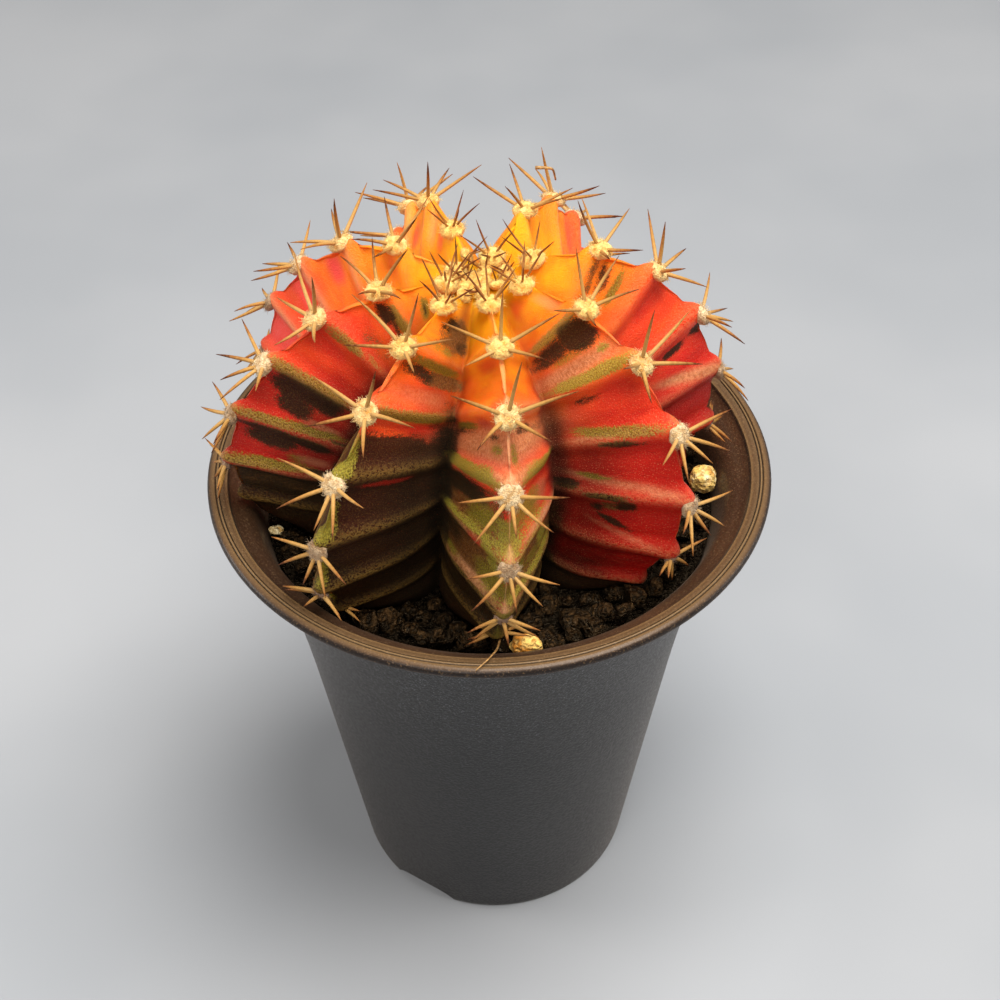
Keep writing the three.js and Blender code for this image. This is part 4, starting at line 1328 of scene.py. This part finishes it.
def crumbPlaces():
    tree = KDTree(len(stemPoints))
    for i, point in enumerate(stemPoints):
        tree.insert(point, i)
    tree.balance()
    draw = seededRandom(soil["seed"])
    placed = np.zeros((0, 4))
    for i in range(soil["tries"]):
        if len(placed) >= soil["count"]:
            break
        size = mix(soil["small"], soil["large"], draw() ** 1.3)
        azimuth = 2 * math.pi * draw()
        outermost = innerRadius(soilTop) - size * 0.9 - 0.2
        radius = mix(soil["innermost"], outermost, math.sqrt(draw()))
        height = soilTop + mix(-0.5, 0.35, draw()) * size
        height += soil["heaped"] * float(smoothstep(25, 32, radius))
        point = Vector((radius * math.cos(azimuth), radius * math.sin(azimuth), height))
        near, index, _ = tree.find(point)
        away = (point - near).dot(Vector(stemNormals[index]))
        gaps = np.linalg.norm(placed[:, :3] - np.array(point), axis=1)
        onGrain = any(besideGrain(grain, point) < 0.5 * size for grain in grains.values())
        if away < 0.8 * size or onGrain or (gaps < 0.7 * (size + placed[:, 3])).any():
            continue
        placed = np.vstack([placed, (*point, size)])
    return placed


# The stem's skin moved out by the gap that the soil leaves round it.
def stemHole(column, v):
    return raisedSkin(column, v, soil["stemGap"] * np.ones_like(v))


def makeSoil():
    heights = soil["heights"]
    profile = [(innerRadius(height) - soil["gap"], height) for height in heights]
    profile = [(0, heights[0])] + profile + [(0, heights[-1])]
    hole, _, _ = stemMesh(stemHole, columnsOfRib=8, rowsOfStep=5)
    body = cutOut(spinProfile(profile, steps=96), hole)
    piece = finishPiece(body, "soil_body", "soil", soilMaterial, ["soil"], smooth=False)
    addNumbers(piece.data, {"tone": np.full(len(piece.data.vertices), soil["paintedGapShadeTone"])})
    shapes = [crumbShape(seed) for seed in range(soil["variants"])]
    crumbs = newHeap()
    draw = seededRandom(soil["turnSeed"])
    for x, y, z, size in crumbPlaces():
        shape = shapes[int(draw() * len(shapes))]
        turn = Matrix.Rotation(6.3 * draw(), 3, "X") @ Matrix.Rotation(6.3 * draw(), 3, "Z")
        form = np.array([1, mix(0.65, 1.1, draw()), mix(0.5, 0.9, draw())]) * size
        points = (x, y, z) + (shape["points"] * form) @ np.array(turn).T
        # painted shade: a crumb is darker towards the gaps below it
        paintedShadeFactor = np.clip(0.5 + 0.75 * (points[:, 2] - z) / size, 0.02, 1.1)
        addCopy(crumbs, shape, points, tone=paintedShadeFactor * mix(0.35, 1, draw()))
    finishHeap(crumbs, "soil_crumbs", "soil", soilMaterial, sharpAngle=soil["sharpAngle"])


soilMaterial = makeMaterial("darkCrumbs", soilLook)
makeSoil()

# The pumice grains


def grainLook(tree):
    place = objectPlace(tree)
    stain = attribute(tree, "stain")
    pits = granules(tree, place, 1500, 0.3, 0.6, 3)
    cloud = granules(tree, place, 420, 0.3, 0.7, 2)
    pale = mixColour(tree, cloud, "#f0d08c", "#fff0c4")
    yellow = mixColour(tree, cloud, "#f3c664", "#ffe08c")
    shade = mixColour(tree, stretch(tree, stain, 0, 0.2), pale, yellow)
    stained = stretch(tree, plus(tree, stain, cloud), 0.95, 1.4)
    shade = mixColour(tree, stained, shade, "#cf8424")
    return {
        "Base Color": mixColour(tree, pits, "#cca054", shade),
        "Roughness": 0.85,
        "Normal": bump(tree, pits, 0.3, 0.9),
    }


def makeGrains():
    material = makeMaterial("pumice", grainLook)
    for name, grain in grains.items():
        bm = bmesh.new()
        bmesh.ops.create_icosphere(bm, subdivisions=5, radius=1)
        layer = bm.verts.layers.float.new("stain")
        for vert in bm.verts:
            ball = vert.co.normalized()
            seed = Vector((grain["seed"], 0, 0))
            push = 0.95 + 0.16 * noise.noise(ball * 1.2 + seed) + 0.09 * noise.noise(ball * 3.4 + seed)
            push += 0.04 * noise.noise(ball * 9 + seed)
            facets = max(abs(ball.x), abs(ball.y), abs(ball.z))
            push *= mix(1, 0.75 / facets, 0.25)
            vert.co = Vector([ball[i] * push * grain["half"][i] for i in range(3)])
            vert[layer] = grain["stain"] + 0.5 * noise.noise(ball * 1.7 + seed)
        lift = soilTop + 0.3 - min(vert.co.z for vert in bm.verts)
        bmesh.ops.translate(bm, vec=(*grain["at"], lift), verts=bm.verts)
        finishPiece(bm, name + "_fine", "grit", material, [name])


makeGrains()

# Small dry things

dryThings = {
    "fibre": {
        "line": [(1, -30.6, 77.5), (0.6, -34.9, 80.5), (-0.5, -38.3, 82.7), (-2.1, -39.75, 82.3)],
        "radius": 0.16,
    },
    "husk": {
        "line": [(6.7, 13.5, 121.0), (8.2, 13.6, 120.9), (9.1, 14.2, 120.3), (9.5, 15.2, 118)],
        "radius": 0.24,
    },
    "thread": {"line": [(-5, 4.1, 103), (-4.4, 2.9, 100), (-6.2, 1.4, 96)], "radius": 0.07},
}


def dryLook(tree):
    grain = granules(tree, objectPlace(tree), 1700, 0.3, 0.7, 3)
    return {
        "Base Color": mixColour(tree, grain, "#8a6234", "#c79a5c"),
        "Roughness": stretch(tree, grain, 0, 1, 0.5, 0.75),
        "Normal": bump(tree, grain, 0.08, 0.7),
    }


def makeDryThings():
    material = makeMaterial("dryFibre", dryLook)
    steps = 18
    for name, thing in dryThings.items():
        shape = tubeShape(sides=6, rings=steps)
        line = np.array(thing["line"], float)
        places = np.linspace(0, len(line) - 1, steps)
        centres = np.stack([np.interp(places, np.arange(len(line)), line[:, i]) for i in range(3)], -1)
        for _ in range(2):
            centres[1:-1] = (centres[:-2] + 2 * centres[1:-1] + centres[2:]) / 4
        ring = np.round(shape["points"][:, 2] * (steps - 1)).astype(int)
        heading = unit(centres[np.minimum(ring + 1, steps - 1)] - centres[np.maximum(ring - 1, 0)])
        size = thing["radius"] * (1 - 0.5 * shape["points"][:, 2:3])
        heap = newHeap()
        addCopy(heap, shape, setRound(shape, centres[ring], heading, (0.3, 0.5, 0.8), size))
        finishHeap(heap, name, "cactus", material)


makeDryThings()

# The table


def tableLook(tree):
    drift = granules(tree, objectPlace(tree), 9, 0.3, 0.7, 3)
    return {"Base Color": mixColour(tree, drift, table["grain"], table["colour"]), "Roughness": 0.75}


def makeTable():
    bm = bmesh.new()
    bmesh.ops.create_grid(bm, x_segments=2, y_segments=2, size=table["half"] * mm)
    mesh = meshOf(bm, "table")
    mesh.materials.append(makeMaterial("paleTable", tableLook))
    piece = addObject("table", mesh)


makeTable()
